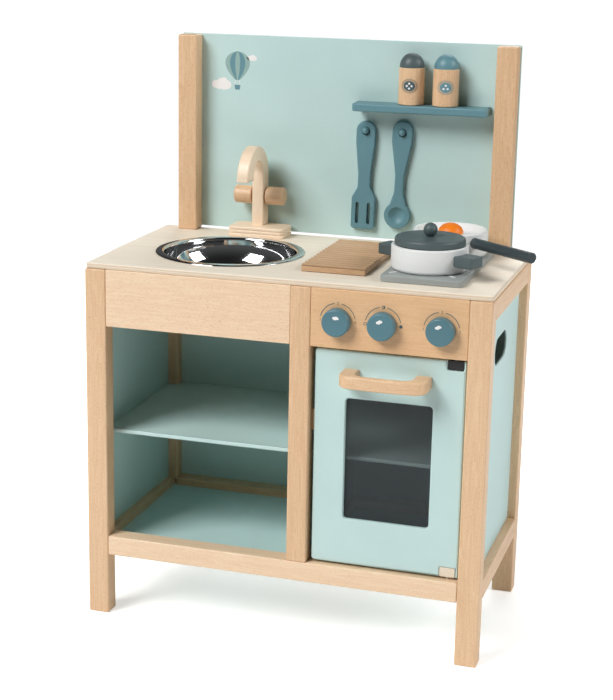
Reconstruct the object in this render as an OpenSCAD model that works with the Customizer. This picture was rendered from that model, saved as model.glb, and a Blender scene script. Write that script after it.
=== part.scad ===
// Wooden toy kitchen: a beech frame with thin painted panels, a sink, a hob, an oven door
// and loose cookware. Inside this file x runs from the left legs' outer face, y from the
// front legs' front face towards the wall, and z from the floor.

/* [Frame] */
// Width over the legs
body_w = 560; // [550:5:600]
// Depth over the legs
body_d = 296; // [292:2:304]
// Height of the legs, up to the underside of the worktop
leg_h = 500; // [490:5:520]
// Width of a leg, seen from the front
leg_w = 30; // [28:1:32]
// Depth of a leg, seen from the side
leg_d = 26; // [24:1:27]
// Height of the bottom rails above the floor
rail_z = 89; // [80:1:100]
// Height of a bottom rail
rail_h = 28; // [26:1:30]
// Depth of the front and rear rails
rail_d = 28; // [26:1:30]
// Thickness of the rails that run from front to back
side_rail_t = 27; // [26:1:29]
// Height of a top rail
top_rail_h = 30; // [26:1:34]
// Width of the centre post
post_w = 28; // [26:1:30]
// Distance of the centre post's middle from the left legs' outer face
post_x = 306.5; // [300:0.5:312]
// Height of the sink apron and of the control panel
apron_h = 79; // [70:1:85]
// Thickness of the sink apron and of the control panel
apron_t = 16; // [16:1:18]

/* [Panels and shelves] */
// Thickness of the thin painted panels
panel_t = 3; // [2.5:0.5:4]
// Distance of a side panel from the legs' outer face
panel_in = 12; // [11:0.5:13]
// Height of the shelves' underside above the floor
shelf_z = 261; // [240:1:280]
// Thickness of a shelf
shelf_t = 6; // [5:1:8]
// Thickness of the bottom panels
floor_t = 4; // [3:0.5:5]
// Height of the bottom panels' underside above the rails' underside
floor_in = 13; // [10:1:15]
// Length of the hand hole in the right side panel
hand_l = 87; // [80:1:100]
// Height of the hand hole
hand_h = 37; // [30:1:40]

/* [Worktop] */
// Thickness of the worktop
top_t = 8; // [7:1:12]
// Distance of the worktop's rear edge behind the legs
top_back = 8; // [6:1:10]
// Radius of the sink's rim
sink_r = 105; // [95:1:106]
// Depth of the sink bowl
sink_depth = 60; // [50:1:65]
// Width of the hob plate
hob_w = 107.5; // [105:0.5:110]
// Depth of the hob plate
hob_d = 232; // [225:1:236]
// Thickness of the hob plate
hob_t = 9; // [6:1:10]

/* [Splashback] */
// Height of the splashback posts above the worktop
back_h = 288; // [280:2:300]
// Width of a splashback post
back_post_w = 29; // [26:1:30]
// Distance of a splashback post from the side of the kitchen
back_post_in = 27.5; // [26:0.5:32]
// Length of the small shelf
ledge_l = 194.5; // [180:0.5:200]
// Depth of the small shelf
ledge_d = 38; // [37:1:42]
// Thickness of the small shelf
ledge_t = 11.5; // [8:0.5:14]
// Height of the small shelf's top above the worktop
ledge_z = 202; // [200:1:215]

/* [Oven door] */
// Thickness of the oven door
door_t = 10; // [9:0.5:11]
// Distance of the door's front behind the legs' front
door_in = 8; // [7.5:0.5:9]
// Width of the door's window
window_w = 117; // [100:1:125]
// Height of the door's window
window_h = 168; // [150:1:180]
// Length of the door handle
grip_l = 118; // [110:1:120]
// Reach of the door handle in front of the door
grip_reach = 42.5; // [36:0.5:44]

/* [Cookware] */
// Outer radius of the pot and of the pan
pot_r = 51; // [48:0.5:51]
// Height of the pot's body
pot_h = 33; // [28:1:36]
// Turn of the pot's handles, from the kitchen's right
pot_turn = -24; // [-30:1:-20]
// Height of the pan
pan_h = 35; // [30:1:36]
// Length of the pan's handle beyond the pan
pan_grip_l = 116; // [100:1:120]
// Turn of the pan's handle, from the kitchen's right
pan_turn = -38.5; // [-42:0.5:-36]

/* [Hidden] */
$fn = 64;

beech = [0.91, 0.76, 0.61];
pale_ply = [0.90, 0.85, 0.78];
mint = [0.77, 0.86, 0.85];
teal = [0.41, 0.58, 0.61];
slate = [0.33, 0.38, 0.38];
warm_white = [0.91, 0.91, 0.91];
hob_grey = [0.61, 0.64, 0.62];
steel = [0.8, 0.81, 0.82];
brass_tone = [0.78, 0.66, 0.42];

top_z = leg_h + top_t;              // the worktop's upper face
rail_top = rail_z + rail_h;
tongue = 5;                         // how far a thin panel enters a groove
lift_gap = 0.3;                     // under a loose piece
inner_d = body_d - leg_d;           // the rear legs' front face
rear_rail_y = body_d - 32;          // the rear rails' front face
back_panel_y = body_d - 8;          // the back panel's front face
post_l = post_x - post_w / 2;
post_r = post_x + post_w / 2;
divider_x = post_x - panel_t / 2;
apron_z = leg_h - apron_h;
apron_y = 1;
floor_z = rail_z + floor_in;
side_inner = panel_in + panel_t;    // a side panel's inner face, from the leg's outer face
shelf_y = leg_d + 4;
sink_x = 159;
sink_y = 143;
sink_rim = 10;
sink_hole_r = sink_r - sink_rim + 1;
sink_wall = 1.2;
back_post_y = body_d - 17;
back_post_d = 26;
splash_y = back_post_y + back_post_d;
splash_z = top_z + 3;
splash_top = top_z + back_h + 1;
ledge_x = 295.5;
ledge_top = top_z + ledge_z;
peg_z = top_z + 160.5;
peg_r = 5;
peg_reach = 16;
spatula_x = 310.5;
spoon_x = 364.5;
utensil_t = 8;
utensil_y = splash_y - utensil_t - 1;
eye_r = 6.2;                        // hanging hole of a utensil
eye_drop = 0.9;                     // the hole's middle hangs this far under the peg's
hob_x = body_w - 47 - hob_w;
hob_y = 33;
burner_x = hob_x + hob_w / 2;
front_burner_y = 94.7;
rear_burner_y = 205;
pan_z = top_z + hob_t + lift_gap;
screw_r = 1.6;
screw_head_r = 3.2;
screw_head_h = 2;
knob_x = [357.4, 418, 495];
knob_z = leg_h - 42;
knob_r = 18.5;
knob_t = 14;
spindle_r = 4;
running = 0.05;                     // radial clearance of every turning fit
door_l = post_r + 5.5;
door_r = body_w - leg_w - 2;
door_z = rail_top + 3.5;
door_top = apron_z - 3;
pivot_x = body_w - 46;
pivot_y = door_in + door_t / 2;
pin_r = 2.5;
notch_w = 21;
notch_h = 13;
notch_x = pivot_x - notch_w / 2;
window_x = 369;
window_z = 185;
pane_t = 3;
rebate = 5;
grip_x = 366;
grip_h = 17.5;
grip_z = door_top - 41;
grip_t = 10;
foot_l = 21;
tap_x = 146.5;
tap_t = 17.5;
tap_front = 202;
tap_r = 48;                         // outer radius of the spout's bend
tap_bend_z = top_z + 87;
tap_slot_r = 21.5;
tap_foot = 26;
base_x = 115.8;
base_w = 85.5;
base_y = 252.5;
base_d = 47.5;
base_h = 15;
axle_y = tap_front + 2 * tap_r - tap_foot / 2;
axle_z = top_z + 58.5;
tap_knob_r = 13.2;
tap_knob_l = 27;
salt_x = 377.5;
pepper_x = 427;
shaker_y = splash_y - 19;
shaker_r = 18.3;
board_x = 290;
board_w = 88;
board_y = 55;
board_l = 190;
board_t = 10;
ridge_count = 14;
pan_grip_z = top_z + 32;
pan_grip_r = 7.3;
reach_x = burner_x + (pot_r + pan_grip_l) * cos(pan_turn) - pan_grip_r * sin(pan_turn);
reach_y = door_in - grip_reach;
// Middle of the whole object's footprint, which becomes the origin
origin_x = reach_x / 2;
origin_y = (reach_y + splash_y + panel_t) / 2;

// ---- shapes that repeat

module beam(from, to) {
    translate(from) cube(to - from);
}

module rounded_rect(w, h, r) {
    translate([r, 0]) square([w - 2 * r, h]);
    translate([0, r]) square([w, h - 2 * r]);
    for (x = [r, w - r], y = [r, h - r]) translate([x, y]) circle(r);
}

// A plate that lies flat
module plate(from, size, r) {
    translate(from) linear_extrude(size[2]) rounded_rect(size[0], size[1], r);
}

// A plate that stands across the kitchen, given by its front lower left corner
module upright_plate(from, size, r) {
    translate([from[0], from[1] + size[1], from[2]])
        rotate([90, 0, 0])
            linear_extrude(size[1])
                rounded_rect(size[0], size[2], r);
}

// A cylinder along x, and one along y
module rod_x(from, l, r) {
    translate(from) rotate([0, 90, 0]) cylinder(h = l, r = r);
}

module rod_y(from, l, r) {
    translate(from) rotate([-90, 0, 0]) cylinder(h = l, r = r);
}

// A countersunk wood screw whose head is flush at the origin and whose shank runs down
module wood_screw(l) {
    translate([0, 0, -screw_head_h]) cylinder(h = screw_head_h, r1 = screw_r, r2 = screw_head_r);
    translate([0, 0, -l]) cylinder(h = l - screw_head_h, r = screw_r);
}

module mirrored_pair() {
    children();
    translate([body_w, 0, 0]) mirror([1, 0, 0]) children();
}

// ---- fasteners of the frame and the splashback, which also cut their own holes

module frame_screw_set() {
    for (x = [leg_w / 2, body_w - leg_w / 2], y = [13, body_d - 11])
        translate([x, y, top_z]) wood_screw(32);
    for (y = [13, body_d - 16]) translate([post_x, y, top_z]) wood_screw(32);
    mirrored_pair()
        for (y = [13, body_d - 18])
            translate([0, y, rail_z + rail_h / 2]) rotate([0, -90, 0]) wood_screw(50);
    translate([post_x, 0, rail_z + rail_h / 2]) rotate([90, 0, 0]) wood_screw(45);
    translate([post_x, rear_rail_y + rail_d, rail_z + rail_h / 2])
        rotate([-90, 0, 0]) wood_screw(45);
}

module splashback_screw_set() {
    back = splash_y + panel_t;
    post_mid = back_post_in + back_post_w / 2;
    for (x = [post_mid, body_w - post_mid - 5], z = [32, 147, 262])
        translate([x, back, top_z + z]) rotate([-90, 0, 0]) wood_screw(20);
    for (x = [ledge_x + 35, ledge_x + ledge_l - 35])
        translate([x, back, ledge_top - ledge_t / 2]) rotate([-90, 0, 0]) wood_screw(26);
    for (x = [spatula_x, spoon_x])
        translate([x, back, peg_z]) rotate([-90, 0, 0]) wood_screw(14);
    for (x = [post_mid, body_w - post_mid - 5])
        translate([x, back_post_y + back_post_d / 2, leg_h]) rotate([180, 0, 0]) wood_screw(36);
}

// ---- frame

module side_panel_blank() {
    beam([panel_in, leg_d - tongue, rail_top - tongue],
         [side_inner, inner_d + tongue, leg_h - top_rail_h + tongue]);
}

module back_panel_blank() {
    beam([leg_w - tongue, back_panel_y, rail_top - tongue],
         [body_w - leg_w + tongue, back_panel_y + panel_t, leg_h - top_rail_h + tongue]);
}

module leg_pair(y) {
    difference() {
        mirrored_pair() beam([0, y, 0], [leg_w, y + leg_d, leg_h]);
        mirrored_pair() side_panel_blank();
        back_panel_blank();
        frame_screw_set();
    }
}

module front_legs() color(beech) leg_pair(0);

module rear_legs() color(beech) leg_pair(inner_d);

module floor_groove() {
    beam([side_rail_t - tongue, rail_d - tongue, floor_z],
         [body_w - side_rail_t + tongue, rear_rail_y + tongue, floor_z + floor_t]);
}

module front_bottom_rail() {
    color(beech) difference() {
        beam([leg_w, 0, rail_z], [body_w - leg_w, rail_d, rail_top]);
        floor_groove();
        frame_screw_set();
        translate([pivot_x, pivot_y, rail_top - 10]) cylinder(h = 20, r = pin_r + running);
    }
}

module rear_bottom_rail() {
    color(beech) difference() {
        beam([leg_w, rear_rail_y, rail_z], [body_w - leg_w, rear_rail_y + rail_d, rail_top]);
        floor_groove();
        back_panel_blank();
        frame_screw_set();
    }
}

module divider_panel() {
    outline = [
        [leg_d - tongue, rail_top], [rail_d, rail_top], [rail_d, rail_top - tongue],
        [rear_rail_y, rail_top - tongue], [rear_rail_y, rail_top], [back_panel_y, rail_top],
        [back_panel_y, leg_h - top_rail_h], [rear_rail_y, leg_h - top_rail_h],
        [rear_rail_y, leg_h], [leg_d - tongue, leg_h]
    ];
    color(mint)
        translate([divider_x, 0, 0])
            rotate([90, 0, 90]) linear_extrude(panel_t) polygon(outline);
}

module bottom_cross_rails() {
    color(beech) difference() {
        union() {
            mirrored_pair() beam([0, leg_d, rail_z], [side_rail_t, inner_d, rail_top]);
            beam([post_x - side_rail_t / 2, rail_d, rail_z],
                 [post_x + side_rail_t / 2, rear_rail_y, rail_top]);
        }
        mirrored_pair() side_panel_blank();
        divider_panel();
        left_bottom_panel();
        oven_bottom_panel();
        frame_screw_set();
    }
}

module side_top_rails() {
    color(beech) difference() {
        mirrored_pair() beam([0, leg_d, leg_h - top_rail_h], [side_rail_t, inner_d, leg_h]);
        mirrored_pair() side_panel_blank();
    }
}

module rear_top_rail() {
    color(beech) difference() {
        beam([leg_w, rear_rail_y, leg_h - top_rail_h],
             [body_w - leg_w, rear_rail_y + rail_d, leg_h]);
        back_panel_blank();
        frame_screw_set();
    }
}

module sink_apron() {
    color(beech) beam([leg_w, apron_y, apron_z], [post_l, apron_y + apron_t, leg_h]);
}

module centre_post() {
    color(beech) difference() {
        beam([post_l, 0, rail_top], [post_r, leg_d, leg_h]);
        divider_panel();
        frame_screw_set();
    }
}

module control_panel() {
    color(beech) difference() {
        beam([post_r, apron_y, apron_z], [body_w - leg_w, apron_y + apron_t, leg_h]);
        for (x = knob_x) rod_y([x, 0, knob_z], 30, spindle_r + running);
        translate([pivot_x, pivot_y, apron_z - 5]) cylinder(h = 15, r = pin_r + running);
    }
}

// ---- panels and shelves

module left_side_panel() color(mint) side_panel_blank();

module right_side_panel() {
    color(mint) difference() {
        translate([body_w, 0, 0]) mirror([1, 0, 0]) side_panel_blank();
        translate([body_w - 30, body_d / 2 - 7 - hand_l / 2, leg_h - 93.5 - hand_h / 2])
            rotate([90, 0, 90]) linear_extrude(40) rounded_rect(hand_l, hand_h, hand_h / 2 - 0.01);
    }
}

module back_panel() color(mint) back_panel_blank();

module left_bottom_panel() {
    color(mint) difference() {
        beam([side_rail_t - tongue, rail_d - tongue, floor_z],
             [post_x - side_rail_t / 2 + tongue, rear_rail_y + tongue, floor_z + floor_t]);
        beam([0, 0, 0], [leg_w, leg_d, leg_h]);
    }
}

module oven_bottom_panel() {
    color(mint) difference() {
        beam([post_x + side_rail_t / 2 - tongue, rail_d - tongue, floor_z],
             [body_w - side_rail_t + tongue, rear_rail_y + tongue, floor_z + floor_t]);
        beam([body_w - leg_w, 0, 0], [body_w, leg_d, leg_h]);
    }
}

module left_shelf() {
    color(mint) difference() {
        beam([side_inner, shelf_y, shelf_z], [divider_x, back_panel_y, shelf_z + shelf_t]);
        beam([0, inner_d, 0], [leg_w, body_d, leg_h]);
    }
}

module oven_shelf() {
    color(mint) difference() {
        beam([divider_x + panel_t, shelf_y, shelf_z],
             [body_w - side_inner, back_panel_y, shelf_z + shelf_t]);
        beam([body_w - leg_w, inner_d, 0], [body_w, body_d, leg_h]);
    }
}

module shelf_cleats() {
    side = 8;
    starts = [side_inner, divider_x - side, divider_x + panel_t, body_w - side_inner - side];
    color(beech)
        for (x = starts)
            beam([x, shelf_y + 35, shelf_z - side], [x + side, inner_d - 20, shelf_z]);
}

// ---- worktop and hob

module worktop() {
    color(pale_ply) difference() {
        plate([0.5, 2, leg_h], [body_w - 1, body_d + top_back - 2, top_t], 5);
        translate([sink_x, sink_y, leg_h - 1]) cylinder(h = top_t + 2, r = sink_hole_r, $fn = 96);
        frame_screw_set();
        splashback_screw_set();
    }
}

module hob_plate() color(hob_grey) plate([hob_x - 2, hob_y - 2, top_z], [hob_w + 2.5, hob_d + 2, hob_t], 7);

// ---- splashback

module splashback_posts() {
    color(beech) difference() {
        for (x = [back_post_in, body_w - back_post_w - 33])
            beam([x, back_post_y, top_z],
                 [x + back_post_w, back_post_y + back_post_d, top_z + back_h]);
        splashback_screw_set();
    }
}

module splashback_panel() {
    color(mint) difference() {
        beam([back_post_in - 1.5, splash_y, splash_z],
             [body_w - back_post_in - 4, splash_y + panel_t, splash_top]);
        splashback_screw_set();
    }
}

module ledge() {
    color(teal) difference() {
        plate([ledge_x, splash_y - ledge_d, ledge_top - ledge_t], [ledge_l, ledge_d, ledge_t], 5);
        splashback_screw_set();
    }
}

module utensil_pegs() {
    color(teal) difference() {
        for (x = [spatula_x, spoon_x])
            translate([x, splash_y, peg_z]) rotate([90, 0, 0]) {
                cylinder(h = peg_reach - peg_r, r = peg_r);
                translate([0, 0, peg_reach - peg_r]) sphere(peg_r);
            }
        splashback_screw_set();
    }
}

// ---- tap

module spout_outline() {
    mid = tap_front + tap_r;
    slot_mid = tap_front + 27 + tap_slot_r;
    difference() {
        union() {
            translate([mid, tap_bend_z]) circle(tap_r, $fn = 96);
            translate([mid + tap_r - tap_foot, top_z + base_h - 8])
                square([tap_foot, tap_bend_z - top_z - base_h + 8]);
        }
        translate([slot_mid, tap_bend_z + 5.5]) circle(tap_slot_r);
        translate([slot_mid - tap_slot_r, tap_bend_z - 60]) square([2 * tap_slot_r, 65.5]);
        translate([0, tap_bend_z - 59]) square([slot_mid, 60]);
    }
}

module tap_spout() {
    color(beech) difference() {
        translate([tap_x, 0, 0]) rotate([90, 0, 90]) linear_extrude(tap_t) spout_outline();
        rod_x([tap_x - 1, axle_y, axle_z], tap_t + 2, spindle_r + running);
    }
}

module tap_base() {
    color(beech) difference() {
        plate([base_x, base_y, top_z], [base_w, base_d, base_h], 8);
        tap_spout();
    }
}

module tap_axle() {
    color(beech) rod_x([tap_x - 16, axle_y, axle_z], tap_t + 34, spindle_r);
}

module tap_knobs() {
    color(beech) difference() {
        union() {
            rod_x([tap_x - 2 - tap_knob_l, axle_y, axle_z], tap_knob_l, tap_knob_r);
            rod_x([tap_x + tap_t + 2, axle_y, axle_z], tap_knob_l, tap_knob_r);
        }
        tap_axle();
    }
}

// ---- fastener nodes

module frame_screws() color(steel) frame_screw_set();

module splashback_screws() color(steel) splashback_screw_set();

// ---- oven door catch

module door_magnet() {
    color(steel) rod_y([post_r + 9, door_in + door_t + 0.4, shelf_z + 55], 3, 4);
}

module door_stop() {
    y = door_in + door_t + 0.4;
    color(beech) difference() {
        beam([post_r, y, shelf_z + 40], [post_r + 15, y + 21, shelf_z + 70]);
        door_magnet();
    }
}

module door_strike() {
    color(steel) rod_y([post_r + 9, door_in + door_t - 1, shelf_z + 55], 1, 3.2);
}

// ---- control knobs

module spindle(i) {
    back = apron_y + apron_t + 1;
    color(beech) {
        rod_y([knob_x[i], -8, knob_z], back + 8, spindle_r);
        rod_y([knob_x[i], back, knob_z], 4, spindle_r * 2);
    }
}

module control_knob(i) {
    edge = 2.5;
    color(teal) difference() {
        union() {
            rod_y([knob_x[i], edge - knob_t, knob_z], knob_t - edge, knob_r);
            translate([knob_x[i], -knob_t, knob_z])
                rotate([-90, 0, 0]) cylinder(h = edge, r1 = knob_r - edge, r2 = knob_r);
        }
        spindle(i);
    }
}

module left_knob() control_knob(0);

module middle_knob() control_knob(1);

module right_knob() control_knob(2);

module left_spindle() spindle(0);

module middle_spindle() spindle(1);

module right_spindle() spindle(2);

// ---- oven door

module hinge_notch(z) {
    beam([notch_x, door_in - 1, z], [notch_x + notch_w, door_in + door_t + 1, z + notch_h]);
}

module handle_screw_set() {
    for (x = [grip_x + foot_l / 2, grip_x + grip_l - foot_l / 2])
        translate([x, door_in + door_t, grip_z + grip_h / 2]) rotate([-90, 0, 0]) wood_screw(24);
}

module oven_door() {
    color(mint) difference() {
        upright_plate([door_l, door_in, door_z], [door_r - door_l, door_t, door_top - door_z], 5);
        upright_plate([window_x, door_in - 1, window_z], [window_w, door_t, window_h], 5);
        upright_plate([window_x - rebate, door_in + door_t - 5, window_z - rebate],
                      [window_w + 2 * rebate, 6, window_h + 2 * rebate], 6);
        hinge_notch(door_z);
        hinge_notch(door_top - notch_h);
        handle_screw_set();
        door_strike();
    }
}

module door_window() {
    color([0.25, 0.28, 0.29])
        upright_plate([window_x - rebate, door_in + door_t - 5, window_z - rebate],
                      [window_w + 2 * rebate, pane_t, window_h + 2 * rebate], 6);
}

// The bow's outer line, seen from above: a flat arch with round shoulders
module bow(l, reach, shoulder, crown_r) {
    intersection() {
        translate([-l / 2, -reach]) rounded_rect(l, reach + shoulder + 1, shoulder);
        translate([0, crown_r - reach]) circle(crown_r, $fn = 360);
        translate([-l / 2, -reach]) square([l, reach]);
    }
}

module door_handle() {
    color(beech) difference() {
        translate([grip_x + grip_l / 2, door_in, grip_z])
            linear_extrude(grip_h)
                difference() {
                    bow(grip_l, grip_reach, 20, 320);
                    bow(grip_l - 2 * foot_l, grip_reach - grip_t, 12, 320);
                }
        handle_screw_set();
    }
}

module handle_screws() color(steel) handle_screw_set();

module hinge_block(z) {
    difference() {
        beam([notch_x, door_in + 0.8, z], [notch_x + notch_w, door_in + door_t - 0.8, z + notch_h]);
        hinge_pins();
    }
}

module upper_hinge_block() color([0.09, 0.09, 0.09]) hinge_block(door_top - notch_h);

module lower_hinge_block() color(pale_ply) hinge_block(door_z);

module hinge_pins() {
    pin_l = 18;
    color(steel)
        for (z = [door_top - 8, door_z + 8 - pin_l])
            translate([pivot_x, pivot_y, z]) cylinder(h = pin_l, r = pin_r);
}

// ---- sink bowl, a flat rim with a round bowl under it

function bowl_line(grow) = [
    for (a = [0:10:90])
        [52 + (sink_r - sink_rim - 1 - 52 - sink_wall + grow) * cos(a),
         -(sink_depth - sink_wall + grow) * sin(a)]
];

module sink_bowl() {
    inner = bowl_line(0);
    outer = bowl_line(sink_wall);
    last = len(inner) - 1;
    line = concat(
        [[0, inner[last][1]]],
        [for (i = [last:-1:0]) inner[i]],
        [[inner[0][0], 1], [inner[0][0] + 2, 2.4], [sink_r - 2, 2.4], [sink_r, 1.2],
         [sink_r, 0], [outer[0][0], 0]],
        [for (i = [1:last]) outer[i]],
        [[0, outer[last][1]]]
    );
    color(steel)
        translate([sink_x, sink_y, top_z + lift_gap])
            rotate_extrude($fn = 128) polygon(line);
}

// ---- loose pieces

module cutting_board() {
    z = top_z + lift_gap;
    pitch = board_l / ridge_count;
    color([0.75, 0.6, 0.45]) difference() {
        plate([board_x, board_y, z], [board_w, board_l, board_t], 4);
        for (i = [1:ridge_count - 1])
            rod_x([board_x - 1, board_y + i * pitch, z + board_t + 2], board_w + 2, 4);
    }
}

module pot_body() {
    wall = 6;
    line = [
        [0, 0], [pot_r - 4, 0], [pot_r - 1.2, 1.2], [pot_r, 4], [pot_r, pot_h - 1.5],
        [pot_r - 1.5, pot_h], [pot_r - wall, pot_h], [pot_r - wall, wall + 3],
        [pot_r - wall - 3, wall], [0, wall]
    ];
    color(warm_white)
        translate([burner_x - 4.2, front_burner_y, pan_z]) rotate_extrude($fn = 128) polygon(line);
}

module pot_handles() {
    color(slate)
        translate([burner_x - 4.2, front_burner_y, pan_z + 11])
            rotate([0, 0, pot_turn])
                difference() {
                    translate([-pot_r - 25.5, -14, 0]) cube([2 * pot_r + 51, 28, 14.5]);
                    translate([0, 0, -1]) cylinder(h = 20, r = pot_r, $fn = 128);
                }
}

module pot_lid() {
    line = [
        [0, -4], [pot_r - 7.5, -4], [pot_r - 7.5, 0], [pot_r - 4, 0], [pot_r - 4, 6],
        [pot_r - 5.2, 9], [pot_r - 8, 10], [0, 10]
    ];
    color(slate)
        translate([burner_x - 4.2, front_burner_y, pan_z + pot_h + lift_gap])
            rotate_extrude($fn = 128) polygon(line);
}

module lid_knob() {
    r = 9.4;
    sink_in = 0.6;
    z = pan_z + pot_h + lift_gap + 10;
    color(slate)
        translate([burner_x - 4.2, front_burner_y, z])
            intersection() {
                translate([0, 0, r - sink_in]) sphere(r, $fn = 64);
                cylinder(h = 3 * r, r = 2 * r);
            }
}

module pan_body() {
    line = [
        [0, 0], [pot_r - 5, 0], [pot_r - 1.5, 1.5], [pot_r, 5], [pot_r, pan_h - 1.5],
        [pot_r - 1.5, pan_h], [pot_r - 5, pan_h], [pot_r - 9, pan_h - 6],
        [pot_r - 16, pan_h - 10], [pot_r - 22, pan_h - 11], [0, pan_h - 11]
    ];
    color(warm_white)
        translate([burner_x, rear_burner_y, pan_z]) rotate_extrude($fn = 128) polygon(line);
}

module pan_handle() {
    color([0.24, 0.27, 0.28])
        translate([burner_x, rear_burner_y, pan_grip_z])
            rotate([0, 0, pan_turn])
                difference() {
                    rod_x([pot_r - 5, 0, 0], pan_grip_l + 5, pan_grip_r);
                    translate([0, 0, -40]) cylinder(h = 80, r = pot_r, $fn = 128);
                }
}

module play_yolk() {
    r = 17.5;
    h = 18.5;
    bulge = h - 5;
    line = concat(
        [[0, 0], [r - 1.5, 0]],
        [for (a = [0:10:80]) [r * cos(a), h - bulge + bulge * sin(a)]],
        [[0, h]]
    );
    color([0.96, 0.55, 0.12])
        translate([burner_x, rear_burner_y, pan_z + pan_h - 11 + lift_gap])
            rotate_extrude($fn = 96) polygon(line);
}

// ---- utensils, drawn from the peg's axis down, then stood against the splashback

module utensil(x) {
    translate([x, utensil_y + utensil_t, peg_z]) rotate([90, 0, 0]) children();
}

module hanging_eye() {
    translate([0, -eye_drop, -1]) cylinder(h = utensil_t + 2, r = eye_r);
}

module tapered_grip(half_w, waist_w, l) {
    translate([0, -0.5]) circle(half_w);
    polygon([[half_w - 0.3, -0.5], [0.3 - half_w, -0.5], [0.6 - half_w, -12],
             [-waist_w - 0.6, 12 - l], [-waist_w, -l], [waist_w, -l],
             [waist_w + 0.6, 12 - l], [half_w - 0.6, -12]]);
}

module spatula() {
    half = 17.6;
    lean = 0.9;
    color(teal) utensil(spatula_x) rotate([0, 0, -lean]) difference() {
        linear_extrude(utensil_t) union() {
            tapered_grip(14.3, 9.3, 86);
            polygon([[9.3, -84], [-9.3, -84], [-half, -100], [-half, -104], [half, -104],
                     [half, -100]]);
            translate([-half, -144]) rounded_rect(2 * half, 44, 4);
        }
        for (x = [-8.5, 8.5])
            translate([x - 2.6, -136, -1])
                linear_extrude(utensil_t + 2) rounded_rect(5.2, 31, 2.59);
        rotate([0, 0, lean]) hanging_eye();
    }
}

module spoon() {
    bowl_r = 19.5;
    bowl_y = -121;
    lean = 2.2;
    color(teal) utensil(spoon_x) rotate([0, 0, -lean]) difference() {
        linear_extrude(utensil_t) union() {
            translate([0, 2]) tapered_grip(15, 6.7, 84);
            polygon([[6.7, -80], [-6.7, -80], [-7.6, -94], [-14, -107], [0, bowl_y],
                     [14, -107], [7.6, -94]]);
            translate([0, bowl_y]) circle(bowl_r);
        }
        translate([0, bowl_y, utensil_t + 11.4]) sphere(17, $fn = 96);
        rotate([0, 0, lean]) hanging_eye();
    }
}

// ---- shakers

module shaker(x) {
    body_h = 52;
    cap_r = 17.4;
    cap_h = 20;
    line = concat(
        [[0, 0], [shaker_r - 1, 0], [shaker_r, 1], [shaker_r, body_h - 0.8],
         [cap_r, body_h]],
        [for (a = [10:10:80]) [cap_r * cos(a), body_h + cap_h * sin(a)]],
        [[0, body_h + cap_h]]
    );
    translate([x, shaker_y, ledge_top + lift_gap]) rotate_extrude($fn = 96) polygon(line);
}

module salt_shaker() color(beech) shaker(salt_x);

module pepper_shaker() color(beech) shaker(pepper_x);

// ---- assembly

module placed() {
    translate([-origin_x, -origin_y, 0]) children();
}

placed() front_legs();
placed() rear_legs();
placed() front_bottom_rail();
placed() rear_bottom_rail();
placed() bottom_cross_rails();
placed() side_top_rails();
placed() rear_top_rail();
placed() sink_apron();
placed() centre_post();
placed() control_panel();
placed() left_side_panel();
placed() right_side_panel();
placed() back_panel();
placed() divider_panel();
placed() left_bottom_panel();
placed() oven_bottom_panel();
placed() left_shelf();
placed() oven_shelf();
placed() shelf_cleats();
placed() worktop();
placed() hob_plate();
placed() splashback_posts();
placed() splashback_panel();
placed() ledge();
placed() utensil_pegs();
placed() tap_base();
placed() tap_spout();
placed() frame_screws();
placed() splashback_screws();
placed() door_stop();
placed() door_magnet();
placed() left_knob();
placed() middle_knob();
placed() right_knob();
placed() left_spindle();
placed() middle_spindle();
placed() right_spindle();
placed() oven_door();
placed() door_window();
placed() door_handle();
placed() handle_screws();
placed() door_strike();
placed() upper_hinge_block();
placed() lower_hinge_block();
placed() hinge_pins();
placed() tap_axle();
placed() tap_knobs();
placed() sink_bowl();
placed() cutting_board();
placed() pot_body();
placed() pot_handles();
placed() pot_lid();
placed() lid_knob();
placed() pan_body();
placed() pan_handle();
placed() play_yolk();
placed() spatula();
placed() spoon();
placed() salt_shaker();
placed() pepper_shaker();
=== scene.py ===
import bpy, bmesh
import math
from math import sin, cos, pi, radians
from mathutils import Matrix, Vector


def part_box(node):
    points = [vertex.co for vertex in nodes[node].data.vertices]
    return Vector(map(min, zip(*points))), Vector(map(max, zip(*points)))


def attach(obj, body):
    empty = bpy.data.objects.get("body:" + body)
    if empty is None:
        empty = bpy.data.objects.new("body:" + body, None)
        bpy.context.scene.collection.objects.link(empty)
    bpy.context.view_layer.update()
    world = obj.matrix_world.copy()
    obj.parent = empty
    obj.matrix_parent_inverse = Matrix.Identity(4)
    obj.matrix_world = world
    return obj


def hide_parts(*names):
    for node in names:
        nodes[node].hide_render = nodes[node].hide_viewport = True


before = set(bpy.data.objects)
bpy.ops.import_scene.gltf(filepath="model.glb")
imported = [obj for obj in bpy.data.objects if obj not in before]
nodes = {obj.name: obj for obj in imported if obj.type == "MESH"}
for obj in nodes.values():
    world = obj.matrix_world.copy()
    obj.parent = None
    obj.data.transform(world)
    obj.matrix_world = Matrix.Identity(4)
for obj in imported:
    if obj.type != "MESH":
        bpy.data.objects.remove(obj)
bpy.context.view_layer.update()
scene = bpy.context.scene
mm = 0.001
print("frame loaded,", len(nodes), "nodes")


def newMaterial(name):
    material = bpy.data.materials.new(name)
    material.use_nodes = True
    return material, material.node_tree, material.node_tree.nodes["Principled BSDF"]


def setSocket(socket, value):
    # a link where the value is another node's output, else the value itself
    if isinstance(value, bpy.types.NodeSocket):
        socket.id_data.links.new(value, socket)
    elif socket.type == "RGBA":
        socket.default_value = (*value[:3], 1)
    else:
        socket.default_value = value


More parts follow.
